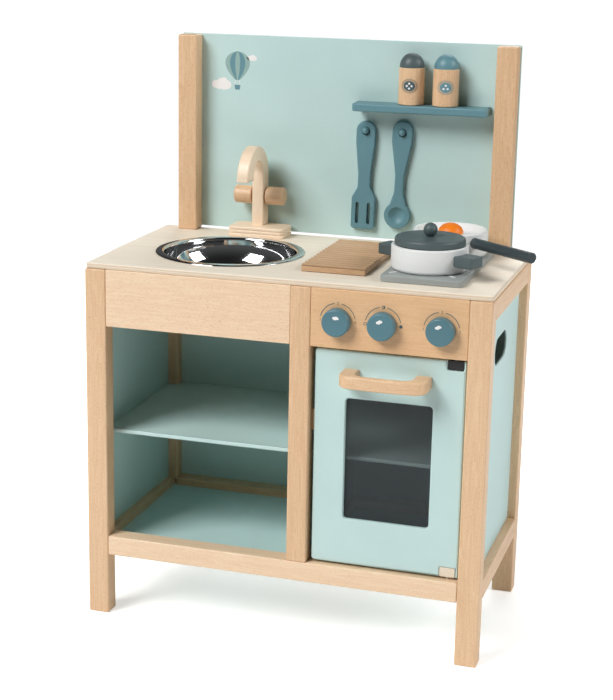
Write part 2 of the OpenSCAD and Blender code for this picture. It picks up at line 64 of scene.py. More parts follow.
def mathNode(operation, a, b=0.0, clamp=False):
    tree = (a if isinstance(a, bpy.types.NodeSocket) else b).id_data
    node = tree.nodes.new("ShaderNodeMath")
    node.operation, node.use_clamp = operation, clamp
    setSocket(node.inputs[0], a)
    setSocket(node.inputs[1], b)
    return node.outputs[0]


def plus(a, b, clamp=False):
    return mathNode("ADD", a, b, clamp)


def minus(a, b):
    return mathNode("SUBTRACT", a, b)


def times(a, b):
    return mathNode("MULTIPLY", a, b)


def mixColor(factor, a, b):
    node = factor.id_data.nodes.new("ShaderNodeMix")
    node.data_type = "RGBA"
    for socket, value in zip((node.inputs[0], node.inputs[6], node.inputs[7]), (factor, a, b)):
        setSocket(socket, value)
    return node.outputs[2]


def rampNode(source, low, high, fromValue=0.0, toValue=1.0):
    node = source.id_data.nodes.new("ShaderNodeMapRange")
    node.interpolation_type = "SMOOTHSTEP"
    names = ("Value", "From Min", "From Max", "To Min", "To Max")
    for name, value in zip(names, (source, low, high, fromValue, toValue)):
        setSocket(node.inputs[name], value)
    return node.outputs[0]


def noiseNode(points, detail=4.0, roughness=0.5, distortion=0.0):
    node = points.id_data.nodes.new("ShaderNodeTexNoise")
    names = ("Vector", "Scale", "Detail", "Roughness", "Distortion")
    for name, value in zip(names, (points, 1, detail, roughness, distortion)):
        setSocket(node.inputs[name], value)
    return node.outputs[0]


def grain(tree, scale, *look):
    # noise in the object's own space; the scale is one number, or one for each axis
    coords = tree.nodes.new("ShaderNodeTexCoord")
    mapping = tree.nodes.new("ShaderNodeMapping")
    mapping.inputs["Scale"].default_value = scale if isinstance(scale, tuple) else (scale,) * 3
    tree.links.new(coords.outputs["Object"], mapping.inputs["Vector"])
    return noiseNode(mapping.outputs[0], *look)


def splitCoords(tree, kind="Object"):
    coords = tree.nodes.new("ShaderNodeTexCoord")
    split = tree.nodes.new("ShaderNodeSeparateXYZ")
    tree.links.new(coords.outputs[kind], split.inputs[0])
    return split.outputs


def facing(tree, axis):
    # how squarely a face looks along one axis, from 0 to 1
    return mathNode("ABSOLUTE", splitCoords(tree, "Normal")[axis])


def along(axis, lengthwise, across):
    scale = [across] * 3
    scale[axis] = lengthwise
    return tuple(scale)


def shade(color, factor):
    return tuple(c * factor for c in color)


def finishSurface(shader, color, rough, height=None, depth=0.0, strength=1.0):
    setSocket(shader.inputs["Base Color"], color)
    setSocket(shader.inputs["Roughness"], rough)
    if height is not None:
        bump = shader.id_data.nodes.new("ShaderNodeBump")
        for name, value in zip(("Strength", "Distance", "Height"), (strength, depth, height)):
            setSocket(bump.inputs[name], value)
        setSocket(shader.inputs["Normal"], bump.outputs[0])


def woodFinish(name, axis, pale, warm, fleck, ringWidth=0.006, fleckAmount=0.5, gloss=0.42):
    # varnished wood: pale early wood, warm late wood, short dark flecks, darker end grain
    material, tree, shader = newMaterial(name)
    board = grain(tree, along(axis, 1.3, 17), 2)
    streak = grain(tree, along(axis, 7, 230), 5, 0.6)
    bend = grain(tree, along(axis, 3.2, 26), 2)
    ring = grain(tree, along(axis, 0.35 / ringWidth / 12, 0.5 / ringWidth), 2, 0.4, 1.6)
    rings = rampNode(mathNode("FRACT", times(plus(ring, bend), 5.5)), 0.0, 0.85)
    tone = plus(times(rings, 0.38), times(streak, 0.5))
    tone = plus(tone, times(minus(board, 0.5), 0.9), clamp=True)
    flecks = rampNode(grain(tree, along(axis, 330, 1500), 1), 0.60, 0.70, 0.0, fleckAmount)
    color = mixColor(flecks, mixColor(tone, pale, warm), fleck)
    endColor = mixColor(grain(tree, 900, 2), shade(warm, 0.55), shade(warm, 0.95))
    color = mixColor(rampNode(facing(tree, axis), 0.75, 0.95, 0.0, 0.45), color, endColor)
    rough = rampNode(streak, 0.3, 0.7, gloss - 0.05, gloss + 0.09)
    finishSurface(shader, color, rough, minus(times(streak, 0.6), flecks), 0.00012, 0.55)
    shader.inputs["Coat Weight"].default_value = 0.12
    shader.inputs["Coat Roughness"].default_value = 0.25
    return material


beechTones = dict(pale=(0.84, 0.585, 0.365), warm=(0.70, 0.430, 0.235), fleck=(0.45, 0.24, 0.115))
paleTones = dict(pale=(0.93, 0.72, 0.51), warm=(0.83, 0.57, 0.36), fleck=(0.58, 0.34, 0.18))
deepTones = dict(pale=(0.84, 0.55, 0.31), warm=(0.74, 0.44, 0.225), fleck=(0.42, 0.21, 0.095))
tapTones = dict(pale=(0.98, 0.81, 0.62), warm=(0.90, 0.67, 0.46), fleck=(0.64, 0.42, 0.25))
boardTones = dict(pale=(0.66, 0.44, 0.265), warm=(0.53, 0.32, 0.17), fleck=(0.36, 0.19, 0.09))
beechX, beechY, beechZ = [woodFinish("beechAlong" + "XYZ"[axis], axis, **beechTones) for axis in range(3)]
paleBeechX = woodFinish("paleBeechAlongX", 0, **paleTones)
deepBeechX = woodFinish("deepBeechAlongX", 0, **deepTones, fleckAmount=0.25)
tapWood = woodFinish("tapWood", 2, **tapTones, ringWidth=0.004, fleckAmount=0.3)
tapBaseWood = woodFinish("tapBaseWood", 0, **tapTones, ringWidth=0.004, fleckAmount=0.3)
boardWood = woodFinish("boardWood", 0, **boardTones, ringWidth=0.005)


def plywoodFinish(name, low, thickness, plies):
    # calm face veneer, and stacked plies with thin glue lines on the edges
    material, tree, shader = newMaterial(name)
    streak = grain(tree, (5, 120, 120), 5, 0.6)
    tone = plus(times(streak, 0.5), times(grain(tree, (2, 9, 9), 3), 0.5))
    face = mixColor(rampNode(tone, 0.3, 0.7), (0.95, 0.86, 0.73), (0.87, 0.765, 0.62))
    wobble = times(grain(tree, (9, 9, 40), 3), 0.00035)
    level = times(plus(minus(splitCoords(tree)[2], low), wobble), plies / thickness)
    glue = rampNode(mathNode("ABSOLUTE", minus(mathNode("FRACT", level), 0.5)), 0.40, 0.49)
    odd = mathNode("GREATER_THAN", mathNode("MODULO", level, 2.0), 1.0)
    plyTone = plus(times(odd, 0.55), times(grain(tree, (30, 30, 900), 4, 0.6), 0.4))
    edge = mixColor(plyTone, (0.88, 0.79, 0.65), (0.72, 0.54, 0.37))
    edge = mixColor(times(glue, 0.5), edge, (0.52, 0.34, 0.20))
    color = mixColor(rampNode(facing(tree, 2), 0.55, 0.8), edge, face)
    finishSurface(shader, color, rampNode(streak, 0.3, 0.7, 0.45, 0.6), streak, 0.0001, 0.5)
    return material


def paintFinish(name, color, gloss=0.45, peel=0.35, mottle=0.05, fibreAxis=None):
    # sprayed paint: even colour, faint cloudiness, fine orange peel, slightly uneven sheen
    material, tree, shader = newMaterial(name)
    cloud = grain(tree, 8, 4)
    speck = rampNode(grain(tree, 420, 2), 0.35, 0.75, 0.0, 0.10)
    base = mixColor(rampNode(cloud, 0.3, 0.7), shade(color, 1 - mottle), shade(color, 1 + mottle))
    height = grain(tree, 700, 2)
    if fibreAxis is not None:
        height = plus(height, times(grain(tree, along(fibreAxis, 25, 700), 4), 1.4))
    rough = rampNode(cloud, 0.25, 0.75, gloss - 0.05, gloss + 0.07)
    finishSurface(shader, mixColor(speck, base, shade(color, 0.82)), rough, height, 0.00008, peel)
    return material


mint = paintFinish("mintPaint", (0.550, 0.735, 0.715), 0.5, 0.35, 0.025)
teal = paintFinish("tealPaint", (0.128, 0.272, 0.315), 0.42, 0.5, 0.07)
knobTeal = paintFinish("knobPaint", (0.088, 0.205, 0.245), 0.4, 0.6, 0.06)
slate = paintFinish("slatePaint", (0.085, 0.118, 0.122), 0.48, 0.9, 0.08)
darkSlate = paintFinish("darkSlatePaint", (0.040, 0.056, 0.062), 0.4, 0.7, 0.08, fibreAxis=0)
potWhite = paintFinish("whitePaint", (0.83, 0.845, 0.84), 0.45, 0.45, 0.02)
hobGrey = paintFinish("hobPaint", (0.345, 0.375, 0.365), 0.5, 0.4, 0.05)
yolkOrange = paintFinish("orangePaint", (0.95, 0.225, 0.004), 0.45, 0.3, 0.04)
printWhite = paintFinish("whitePrint", (0.90, 0.88, 0.86), 0.55, 0.2, 0.02)
printDark = paintFinish("darkPrint", (0.060, 0.110, 0.125), 0.5, 0.2, 0.04)
printTeal = paintFinish("tealPrint", (0.130, 0.285, 0.330), 0.5, 0.2, 0.04)
printSage = paintFinish("sagePrint", (0.300, 0.455, 0.425), 0.5, 0.2, 0.04)


def plasticFinish(name, color, gloss=0.5):
    # moulded plastic with a fine spark-eroded texture
    material, tree, shader = newMaterial(name)
    pits = grain(tree, 1800, 2)
    rough = rampNode(pits, 0.2, 0.8, gloss - 0.05, gloss + 0.08)
    finishSurface(shader, mixColor(pits, shade(color, 0.85), shade(color, 1.15)), rough, pits, 0.00005, 0.6)
    return material


def spunSteel(name, centre, roughness=0.06, turningScale=2600):
    # sheet metal spun on a lathe, with turning marks round its axis
    material, tree, shader = newMaterial(name)
    place = splitCoords(tree)
    x, y = [minus(place[i], centre[i]) for i in (0, 1)]
    join = tree.nodes.new("ShaderNodeCombineXYZ")
    setSocket(join.inputs[0], times(mathNode("SQRT", plus(times(x, x), times(y, y))), turningScale))
    setSocket(join.inputs[1], times(place[2], turningScale))
    turning = noiseNode(join.outputs[0], 3)
    smudge = grain(tree, 14, 4)
    wear = plus(plus(times(turning, 0.05), times(smudge, 0.06)), roughness - 0.04)
    finishSurface(shader, mixColor(smudge, (0.74, 0.75, 0.76), (0.82, 0.83, 0.84)), wear, turning, 0.000004, 0.35)
    shader.inputs["Metallic"].default_value = 1.0
    return material


def platedSteel(name, color, roughness=0.28):
    material, tree, shader = newMaterial(name)
    spangle = grain(tree, 900, 3)
    rough = rampNode(spangle, 0.3, 0.7, roughness, roughness + 0.15)
    finishSurface(shader, mixColor(spangle, shade(color, 0.8), color), rough, spangle, 0.00002, 0.4)
    shader.inputs["Metallic"].default_value = 1.0
    return material


def smokedPane(name):
    # a dark see-through sheet with fine dust
    material, tree, shader = newMaterial(name)
    dust = rampNode(grain(tree, 260, 5, 0.7), 0.62, 0.8)
    finishSurface(shader, mixColor(dust, (0.048, 0.060, 0.066), (0.13, 0.145, 0.15)),
                  rampNode(grain(tree, 9, 3), 0.3, 0.7, 0.05, 0.10))
    shader.inputs["Alpha"].default_value = 0.36
    shader.inputs["IOR"].default_value = 1.49
    return material


blackPlastic = plasticFinish("blackPlastic", (0.018, 0.018, 0.019))
plated = platedSteel("zincPlate", (0.56, 0.56, 0.53))
smoked = smokedPane("smokedSheet")
print("materials made")


def arc(x, y, r, start, end, steps=12):
    # a run of points round a centre, angles in degrees
    return [(x + r * cos(radians(start + (end - start) * i / steps)),
             y + r * sin(radians(start + (end - start) * i / steps))) for i in range(steps + 1)]


def roundCorners(points, closed=True, steps=6):
    # points are (x, y, radius): each corner becomes an arc
    out = []
    count = len(points)
    for i, (x, y, r) in enumerate(points):
        if r <= 0 or (not closed and i in (0, count - 1)):
            out.append((x, y))
            continue
        here = Vector((x, y))
        before = Vector(points[i - 1][:2])
        after = Vector(points[(i + 1) % count][:2])
        a, b = (before - here).normalized(), (after - here).normalized()
        half = math.acos(max(-1, min(1, a.dot(b)))) / 2
        reach = r / math.tan(half)
        middle = here + (a + b).normalized() * (r / sin(half))
        startVector = here + a * reach - middle
        turn = pi - 2 * half
        side = 1 if a.x * b.y - a.y * b.x < 0 else -1
        for k in range(steps + 1):
            t = side * turn * k / steps
            out.append((middle.x + startVector.x * cos(t) - startVector.y * sin(t),
                        middle.y + startVector.x * sin(t) + startVector.y * cos(t)))
    return out


def roundedRect(x0, y0, x1, y1, r, steps=6):
    return roundCorners([(x0, y0, r), (x1, y0, r), (x1, y1, r), (x0, y1, r)], steps=steps)


def isCounterClockwise(loop):
    return sum(a[0] * b[1] - b[0] * a[1] for a, b in zip(loop, loop[1:] + loop[:1])) > 0


def newObject(name, data):
    thing = bpy.data.objects.new(name, data)
    scene.collection.objects.link(thing)
    return thing


def middleOf(node):
    low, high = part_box(node)
    return (low + high) / 2


def applied(thing):
    # the evaluated result as a plain mesh
    bpy.context.view_layer.update()
    depsgraph = bpy.context.evaluated_depsgraph_get()
    return bpy.data.meshes.new_from_object(thing.evaluated_get(depsgraph))


def slabMesh(outline, holes=(), thickness=0.01, edge=0.001, steps=3):
    # a flat plate in x and y, centred on z, with rounded edges
    curve = bpy.data.curves.new("outline", "CURVE")
    curve.dimensions = "2D"
    curve.fill_mode = "BOTH"
    curve.extrude = thickness / 2 - edge
    curve.bevel_depth = edge
    curve.bevel_resolution = steps
    curve.offset = -edge
    for loop, outward in [(outline, True)] + [(h, False) for h in holes]:
        points = list(loop) if isCounterClockwise(list(loop)) == outward else list(loop)[::-1]
        spline = curve.splines.new("POLY")
        spline.points.add(len(points) - 1)
        for target, (x, y) in zip(spline.points, points):
            target.co = (x, y, 0, 1)
        spline.use_cyclic_u = True
    holder = newObject("outline", curve)
    mesh = applied(holder)
    bpy.data.objects.remove(holder)
    tidyMesh(mesh)
    return mesh


def tidyMesh(mesh, reach=0.000005):
    bm = bmesh.new()
    bm.from_mesh(mesh)
    bmesh.ops.remove_doubles(bm, verts=bm.verts, dist=reach)
    bmesh.ops.dissolve_degenerate(bm, edges=bm.edges, dist=reach)
    bmesh.ops.recalc_face_normals(bm, faces=bm.faces)
    bm.to_mesh(mesh)
    bm.free()


def latheMesh(profile, segments=96, centre=(0, 0, 0), axis=(0, 0, 1)):
    # profile is (radius, height) pairs from one end of the axis to the other
    bm = bmesh.new()
    rings = []
    for r, z in profile:
        if r < 1e-7:
            rings.append([bm.verts.new((0, 0, z))])
        else:
            rings.append([bm.verts.new((r * cos(2 * pi * k / segments), r * sin(2 * pi * k / segments), z))
                for k in range(segments)])
    for lower, upper in zip(rings, rings[1:]):
        for k in range(segments):
            n = (k + 1) % segments
            if len(lower) == 1 and len(upper) > 1:
                bm.faces.new((lower[0], upper[n], upper[k]))
            elif len(upper) == 1 and len(lower) > 1:
                bm.faces.new((lower[k], lower[n], upper[0]))
            elif len(lower) > 1:
                bm.faces.new((lower[k], lower[n], upper[n], upper[k]))
    bmesh.ops.recalc_face_normals(bm, faces=bm.faces)
    turn = Vector((0, 0, 1)).rotation_difference(Vector(axis)).to_matrix().to_4x4()
    bm.transform(Matrix.Translation(centre) @ turn)
    mesh = bpy.data.meshes.new("lathe")
    bm.to_mesh(mesh)
    bm.free()
    return mesh


def beamMesh(low, high, edge=0.0015, steps=3):
    bm = bmesh.new()
    bmesh.ops.create_cube(bm, size=1)
    size = Vector(high) - Vector(low)
    bm.transform(Matrix.Translation((Vector(low) + Vector(high)) / 2) @ Matrix.Diagonal((*size, 1)))
    bmesh.ops.bevel(bm, geom=bm.edges[:] + bm.verts[:], offset=edge, segments=steps, profile=0.5, affect="EDGES")
    bmesh.ops.recalc_face_normals(bm, faces=bm.faces)
    mesh = bpy.data.meshes.new("beam")
    bm.to_mesh(mesh)
    bm.free()
    return mesh


def joined(meshes):
    bm = bmesh.new()
    for mesh in meshes:
        bm.from_mesh(mesh)
    out = bpy.data.meshes.new("joined")
    bm.to_mesh(out)
    bm.free()
    return out


# stands a flat mesh up: its y becomes z, and its thickness runs along y
upright = Matrix(((1, 0, 0, 0), (0, 0, -1, 0), (0, 1, 0, 0), (0, 0, 0, 1)))
# the same, seen from the side: x becomes y, y becomes z, and the thickness runs along x
sideways = Matrix(((0, 0, 1, 0), (1, 0, 0, 0), (0, 1, 0, 0), (0, 0, 0, 1)))


def moved(mesh, matrix):
    mesh.transform(matrix)
    return mesh


def shifted(mesh, x, y, z):
    return moved(mesh, Matrix.Translation((x, y, z)))


def stoodUp(mesh, x, y, z):
    return moved(mesh, Matrix.Translation((x, y, z)) @ upright)


def addPiece(name, mesh, material, body, replaces=(), sharp=38, flatten=True):
    mesh.name = name
    mesh.materials.clear()
    mesh.materials.append(material)
    for polygon in mesh.polygons:
        polygon.use_smooth = True
        polygon.material_index = 0
    mesh.set_sharp_from_angle(angle=radians(sharp))
    piece = newObject(name, mesh)
    if flatten:
        weighted = piece.modifiers.new("normals", "WEIGHTED_NORMAL")
        weighted.keep_sharp = True
        weighted.weight = 60
    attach(piece, body)
    if replaces:
        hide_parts(*replaces)
    return piece


def paintNode(name, material):
    node = nodes[name]
    node.data.materials.clear()
    node.data.materials.append(material)


def pairOf(name, width):
    # the left and right member of a node whose two solids stand at its ends
    low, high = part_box(name)
    return [(low, Vector((low.x + width, high.y, high.z))), (Vector((high.x - width, low.y, low.z)), high)]


def cutBy(mesh, cutter):
    # the mesh less the cutter's volume
    body, tool = newObject("body", mesh), newObject("tool", cutter)
    difference = body.modifiers.new("cut", "BOOLEAN")
    difference.operation = "DIFFERENCE"
    difference.solver = "EXACT"
    difference.object = tool
    out = applied(body)
    for thing in (body, tool):
        bpy.data.objects.remove(thing)
    tidyMesh(out)
    return out


frameSettings = dict(legWidth=30 * mm, backPost=29 * mm, edge=2.2 * mm, railEdge=1.6 * mm, crossRail=27 * mm,
                     cleat=8 * mm)


def makeFrame(s):
    beams = [
        ("front_legs", beechZ, [beamMesh(*b, s["edge"]) for b in pairOf("front_legs", s["legWidth"])]),
        ("rear_legs", beechZ, [beamMesh(*b, s["edge"]) for b in pairOf("rear_legs", s["legWidth"])]),
        ("front_bottom_rail", paleBeechX, [beamMesh(*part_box("front_bottom_rail"), s["edge"])]),
        ("rear_bottom_rail", beechX, [beamMesh(*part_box("rear_bottom_rail"), s["railEdge"])]),
        ("rear_top_rail", beechX, [beamMesh(*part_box("rear_top_rail"), s["railEdge"])]),
        ("side_top_rails", beechY, [beamMesh(*b, s["edge"]) for b in pairOf("side_top_rails", s["crossRail"])]),
        ("sink_apron", paleBeechX, [beamMesh(*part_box("sink_apron"), 1.2 * mm)]),
        ("control_panel", deepBeechX, [beamMesh(*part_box("control_panel"), 1.2 * mm)]),
        ("centre_post", beechZ, [beamMesh(*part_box("centre_post"), s["edge"])]),
        ("splashback_posts", beechZ, [beamMesh(*b, s["edge"]) for b in pairOf("splashback_posts", s["backPost"])]),
        ("door_stop", beechZ, [beamMesh(*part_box("door_stop"), 1.2 * mm)]),
    ]
    for name, wood, meshes in beams:
        addPiece(name + "_wood", joined(meshes), wood, "carcass", [name])

    low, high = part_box("bottom_cross_rails")
    postLow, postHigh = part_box("centre_post")
    middle = (postLow.x + postHigh.x) / 2
    half = s["crossRail"] / 2
    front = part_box("front_bottom_rail")[1].y
    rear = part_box("rear_bottom_rail")[0].y
    rails = pairOf("bottom_cross_rails", s["crossRail"])
    rails.append((Vector((middle - half, front, low.z)), Vector((middle + half, rear, high.z))))
    addPiece("bottom_cross_rails_wood", joined([beamMesh(*b, s["railEdge"]) for b in rails]), beechY, "carcass",
        ["bottom_cross_rails"])

    low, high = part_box("shelf_cleats")
    dividerLow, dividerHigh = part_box("divider_panel")
    starts = (low.x, dividerLow.x - s["cleat"], dividerHigh.x, high.x - s["cleat"])
    cleats = [beamMesh((x, low.y, low.z), (x + s["cleat"], high.y, high.z), 0.8 * mm) for x in starts]
    addPiece("shelf_cleats_wood", joined(cleats), beechY, "carcass", ["shelf_cleats"])


makeFrame(frameSettings)
print("frame made")


panelSettings = dict(edge=0.9 * mm, handLength=87 * mm, handHeight=37 * mm, handBack=7 * mm, handDrop=93.5 * mm)


def uprightSlab(node, edge, corner=1 * mm, holes=()):
    low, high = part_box(node)
    mesh = slabMesh(roundedRect(low.x, low.z, high.x, high.z, corner), holes, high.y - low.y, edge)
    return stoodUp(mesh, 0, (low.y + high.y) / 2, 0)


def flatSlab(outline, holes, low, high, edge, steps=3):
    mesh = slabMesh(outline, holes, high - low, edge, steps)
    return shifted(mesh, 0, 0, (low + high) / 2)


def makePanels(s):
    for name in ("left_side_panel", "back_panel", "divider_panel", "left_bottom_panel", "oven_bottom_panel"):
        paintNode(name, mint)

    low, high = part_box("right_side_panel")
    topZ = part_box("front_legs")[1].z
    y, z = (low.y + high.y) / 2 - s["handBack"], topZ - s["handDrop"]
    reach = (s["handLength"] - s["handHeight"]) / 2
    r = s["handHeight"] / 2
    hole = arc(y + reach, z, r, -90, 90, 20) + arc(y - reach, z, r, 90, 270, 20)
    mesh = slabMesh(roundedRect(low.y, low.z, high.y, high.z, 1 * mm), [hole], high.x - low.x, s["edge"])
    mesh = moved(mesh, Matrix.Translation(((low.x + high.x) / 2, 0, 0)) @ sideways)
    addPiece("right_side_sheet", mesh, mint, "carcass", ["right_side_panel"])
    addPiece("splashback_sheet", uprightSlab("splashback_panel", s["edge"]), mint, "carcass",
        ["splashback_panel"])

    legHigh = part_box("rear_legs")
    for name, legAtLeft in (("left_shelf", True), ("oven_shelf", False)):
        low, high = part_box(name)
        notch = frameSettings["legWidth"]
        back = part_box("rear_legs")[0].y
        edgeX = legHigh[0].x + notch if legAtLeft else legHigh[1].x - notch
        if legAtLeft:
            points = [(low.x, low.y, 1 * mm), (high.x, low.y, 1 * mm), (high.x, high.y, 0), (edgeX, high.y, 0),
                (edgeX, back, 0), (low.x, back, 0)]
        else:
            points = [(low.x, low.y, 1 * mm), (high.x, low.y, 1 * mm), (high.x, back, 0), (edgeX, back, 0),
                (edgeX, high.y, 0), (low.x, high.y, 0)]
        addPiece(name + "_sheet", flatSlab(roundCorners(points), [], low.z, high.z, 1.8 * mm), mint, "carcass",
            [name])


makePanels(panelSettings)

worktopSettings = dict(corner=4 * mm, edge=1.8 * mm, holeMargin=9 * mm, plies=5)


def makeWorktop(s):
    low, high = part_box("worktop")
    sinkLow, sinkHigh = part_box("sink_bowl")
    x, y = (sinkLow.x + sinkHigh.x) / 2, (sinkLow.y + sinkHigh.y) / 2
    holeRadius = (sinkHigh.x - sinkLow.x) / 2 - s["holeMargin"]
    ply = plywoodFinish("worktopPlywood", low.z, high.z - low.z, s["plies"])
    hole = arc(x, y, holeRadius, 0, 356.25, 95)
    mesh = flatSlab(roundedRect(low.x, low.y, high.x, high.y, s["corner"]), [hole], low.z, high.z, s["edge"])
    addPiece("worktop_board", mesh, ply, "carcass", ["worktop"])
    return ply


plywood = makeWorktop(worktopSettings)
print("panels and worktop made")


def geoNode(tree, kind, given=(), **values):
    node = tree.nodes.new(kind)
    for key, value in values.items():
        setattr(node, key, value)
    for socket, value in dict(given).items():
        setSocket(node.inputs[socket], value)
    return node


def geo(tree, kind, given=(), **values):
    return geoNode(tree, kind, given, **values).outputs[0]


def geoJoin(tree, parts):
    join = tree.nodes.new("GeometryNodeJoinGeometry")
    for part in parts:
        tree.links.new(part, join.inputs[0])
    return join.outputs[0]


def grow(baseMesh, name, build, values):
    # builds a tree with one named input for each value, runs it on a mesh and returns the plain result
    tree = bpy.data.node_groups.new(name, "GeometryNodeTree")
    tree.interface.new_socket("Geometry", in_out="INPUT", socket_type="NodeSocketGeometry")
    kinds = {float: "NodeSocketFloat", int: "NodeSocketInt", bpy.types.Material: "NodeSocketMaterial"}
    sockets = {label: tree.interface.new_socket(label, in_out="INPUT", socket_type=kinds[type(value)]).identifier
               for label, value in values.items()}
    tree.interface.new_socket("Geometry", in_out="OUTPUT", socket_type="NodeSocketGeometry")
    given = tree.nodes.new("NodeGroupInput").outputs
    shape = build(tree, given)
    placed = geo(tree, "GeometryNodeInstanceOnPoints", {"Points": given["Geometry"], **shape})
    real = geo(tree, "GeometryNodeRealizeInstances", {0: placed})
    painted = geo(tree, "GeometryNodeSetMaterial", {0: real, "Material": given["Material"]})
    tree.links.new(painted, tree.nodes.new("NodeGroupOutput").inputs[0])

    holder = newObject("grower", baseMesh)
    modifier = holder.modifiers.new("grow", "NODES")
    modifier.node_group = tree
    for label, value in values.items():
        modifier[sockets[label]] = value
    out = applied(holder)
    bpy.data.objects.remove(holder)
    return out


def pointsMesh(points, directions=()):
    mesh = bpy.data.meshes.new("points")
    mesh.from_pydata([tuple(p) for p in points], [], [])
    if directions:
        aim = mesh.attributes.new("aim", "FLOAT_VECTOR", "POINT")
        for item, direction in zip(aim.data, directions):
            item.vector = direction
    return mesh


screwSettings = dict(headRadius=3.1 * mm, headDepth=2.1 * mm, shankRadius=1.55 * mm, recess=0.95 * mm,
                     length=26 * mm, pitch=1.6 * mm, proud=0.25 * mm, rearProud=0.2 * mm)


def screwShape(tree, given):
    headRadius, headDepth, shankRadius = [given[k] for k in ("Head Radius", "Head Depth", "Shank Radius")]
    length = given["Length"]

    def lowered(shape, drop):
        down = geo(tree, "ShaderNodeCombineXYZ", {2: times(drop, -1.0)})
        return geo(tree, "GeometryNodeTransform", {"Geometry": shape, "Translation": down})

    head = geo(tree, "GeometryNodeMeshCone", {
        "Vertices": 32, "Radius Top": headRadius, "Radius Bottom": shankRadius, "Depth": headDepth})
    # a cross-shaped drive sunk into the head
    cut = geoNode(tree, "GeometryNodeMeshBoolean", {0: lowered(head, headDepth)}, operation="DIFFERENCE")
    bar = (times(headRadius, 1.15), times(headRadius, 0.3))
    for a, b in (bar, bar[::-1]):
        size = geo(tree, "ShaderNodeCombineXYZ", {0: a, 1: b, 2: times(given["Recess"], 2.0)})
        tree.links.new(geo(tree, "GeometryNodeMeshCube", {"Size": size}), cut.inputs[1])
    shank = geo(tree, "GeometryNodeMeshCylinder", {"Vertices": 20, "Radius": shankRadius, "Depth": length})
    shank = lowered(shank, plus(times(length, 0.5), headDepth))
    # the thread is a helix with a thin profile
    helix = geo(tree, "GeometryNodeCurveSpiral", {
        "Resolution": 14, "Rotations": mathNode("DIVIDE", length, given["Pitch"]),
        "Start Radius": shankRadius, "End Radius": shankRadius, "Height": length})
    ridge = geo(tree, "GeometryNodeCurvePrimitiveCircle", {"Resolution": 3, "Radius": times(shankRadius, 0.28)})
    thread = geo(tree, "GeometryNodeCurveToMesh", {
        "Curve": lowered(helix, plus(length, headDepth)), "Profile Curve": ridge, "Fill Caps": True})
    aim = geo(tree, "GeometryNodeInputNamedAttribute", {"Name": "aim"}, data_type="FLOAT_VECTOR")
    turn = geo(tree, "FunctionNodeAlignRotationToVector", {"Vector": aim}, axis="Z")
    roll = geoNode(tree, "FunctionNodeRandomValue", {2: 0.0, 3: pi, "Seed": given["Seed"]}, data_type="FLOAT")
    spin = geo(tree, "FunctionNodeAxisAngleToRotation", {"Axis": (0, 0, 1), "Angle": roll.outputs[1]})
    whole = geo(tree, "FunctionNodeRotateRotation", {0: turn, 1: spin}, rotation_space="LOCAL")
    return {"Instance": geoJoin(tree, (thread, shank, cut.outputs[0])), "Rotation": whole}


def makeScrews(s):
    up, right, back = Vector((0, 0, 1)), Vector((1, 0, 0)), Vector((0, 1, 0))

    def screwsAt(places, length):
        # places are (point, direction of the head) pairs
        values = {"Head Radius": s["headRadius"], "Head Depth": s["headDepth"], "Shank Radius": s["shankRadius"],
                  "Recess": s["recess"], "Length": length, "Pitch": s["pitch"], "Seed": 11, "Material": plated}
        return grow(pointsMesh([p for p, d in places], [d for p, d in places]), "woodScrews", screwShape, values)

    def add(name, mesh, body, node):
        addPiece(name, mesh, plated, body, [node], 30)

    proud = s["proud"]
    worktopLow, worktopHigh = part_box("worktop")
    top = worktopHigh.z - proud
    legs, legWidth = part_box("front_legs"), frameSettings["legWidth"]
    middle = middleOf("centre_post").x
    frontY, rearY = (legs[0].y + legs[1].y) / 2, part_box("rear_legs")[0].y + 15 * mm
    rail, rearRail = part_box("front_bottom_rail"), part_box("rear_bottom_rail")
    railZ = (rail[0].z + rail[1].z) / 2
    legMiddles = (legs[0].x + legWidth / 2, legs[1].x - legWidth / 2)
    places = [((x, y, top), up) for x in legMiddles for y in (frontY, rearY)]
    places += [((middle, y, top), up) for y in (frontY, rearY - 5 * mm)]
    for y in (frontY, rearRail[0].y + 14 * mm):
        places += [((legs[0].x + proud, y, railZ), -right), ((legs[1].x - proud, y, railZ), right)]
    places += [((middle, rail[0].y + proud, railZ), -back), ((middle, rearRail[1].y - proud, railZ), back)]
    add("frame_screw_set", screwsAt(places, s["length"]), "carcass", "frame_screws")

    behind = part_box("splashback_panel")[1].y - s["rearProud"]
    posts = [(a.x + b.x) / 2 for a, b in pairOf("splashback_posts", frameSettings["backPost"])]
    shelf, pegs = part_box("ledge"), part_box("utensil_pegs")
    places = [((x, behind, worktopHigh.z + z * mm), back) for x in posts for z in (32, 147, 262)]
    places += [((x, behind, middleOf("ledge").z), back) for x in (shelf[0].x + 35 * mm, shelf[1].x - 35 * mm)]
    places += [((x, middleOf("splashback_posts").y, worktopLow.z), -up) for x in posts]
    pegPlaces = [((x, behind, middleOf("utensil_pegs").z), back) for x in (pegs[0].x + 5 * mm, pegs[1].x - 5 * mm)]
    mesh = joined([screwsAt(places, 20 * mm), screwsAt(pegPlaces, 9 * mm)])
    add("splashback_screw_set", mesh, "carcass", "splashback_screws")

    grip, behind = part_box("door_handle"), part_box("oven_door")[1].y - s["rearProud"]
    inset = 10.5 * mm
    places = [((x, behind, middleOf("door_handle").z), back) for x in (grip[0].x + inset, grip[1].x - inset)]
    add("handle_screw_pair", screwsAt(places, 20 * mm), "door", "handle_screws")


makeScrews(screwSettings)
print("screws made")


hobSettings = dict(corner=7 * mm, edge=1.6 * mm, markLength=12 * mm, markWidth=4.5 * mm,
                   markRadius=56 * mm, markHeight=0.25 * mm)


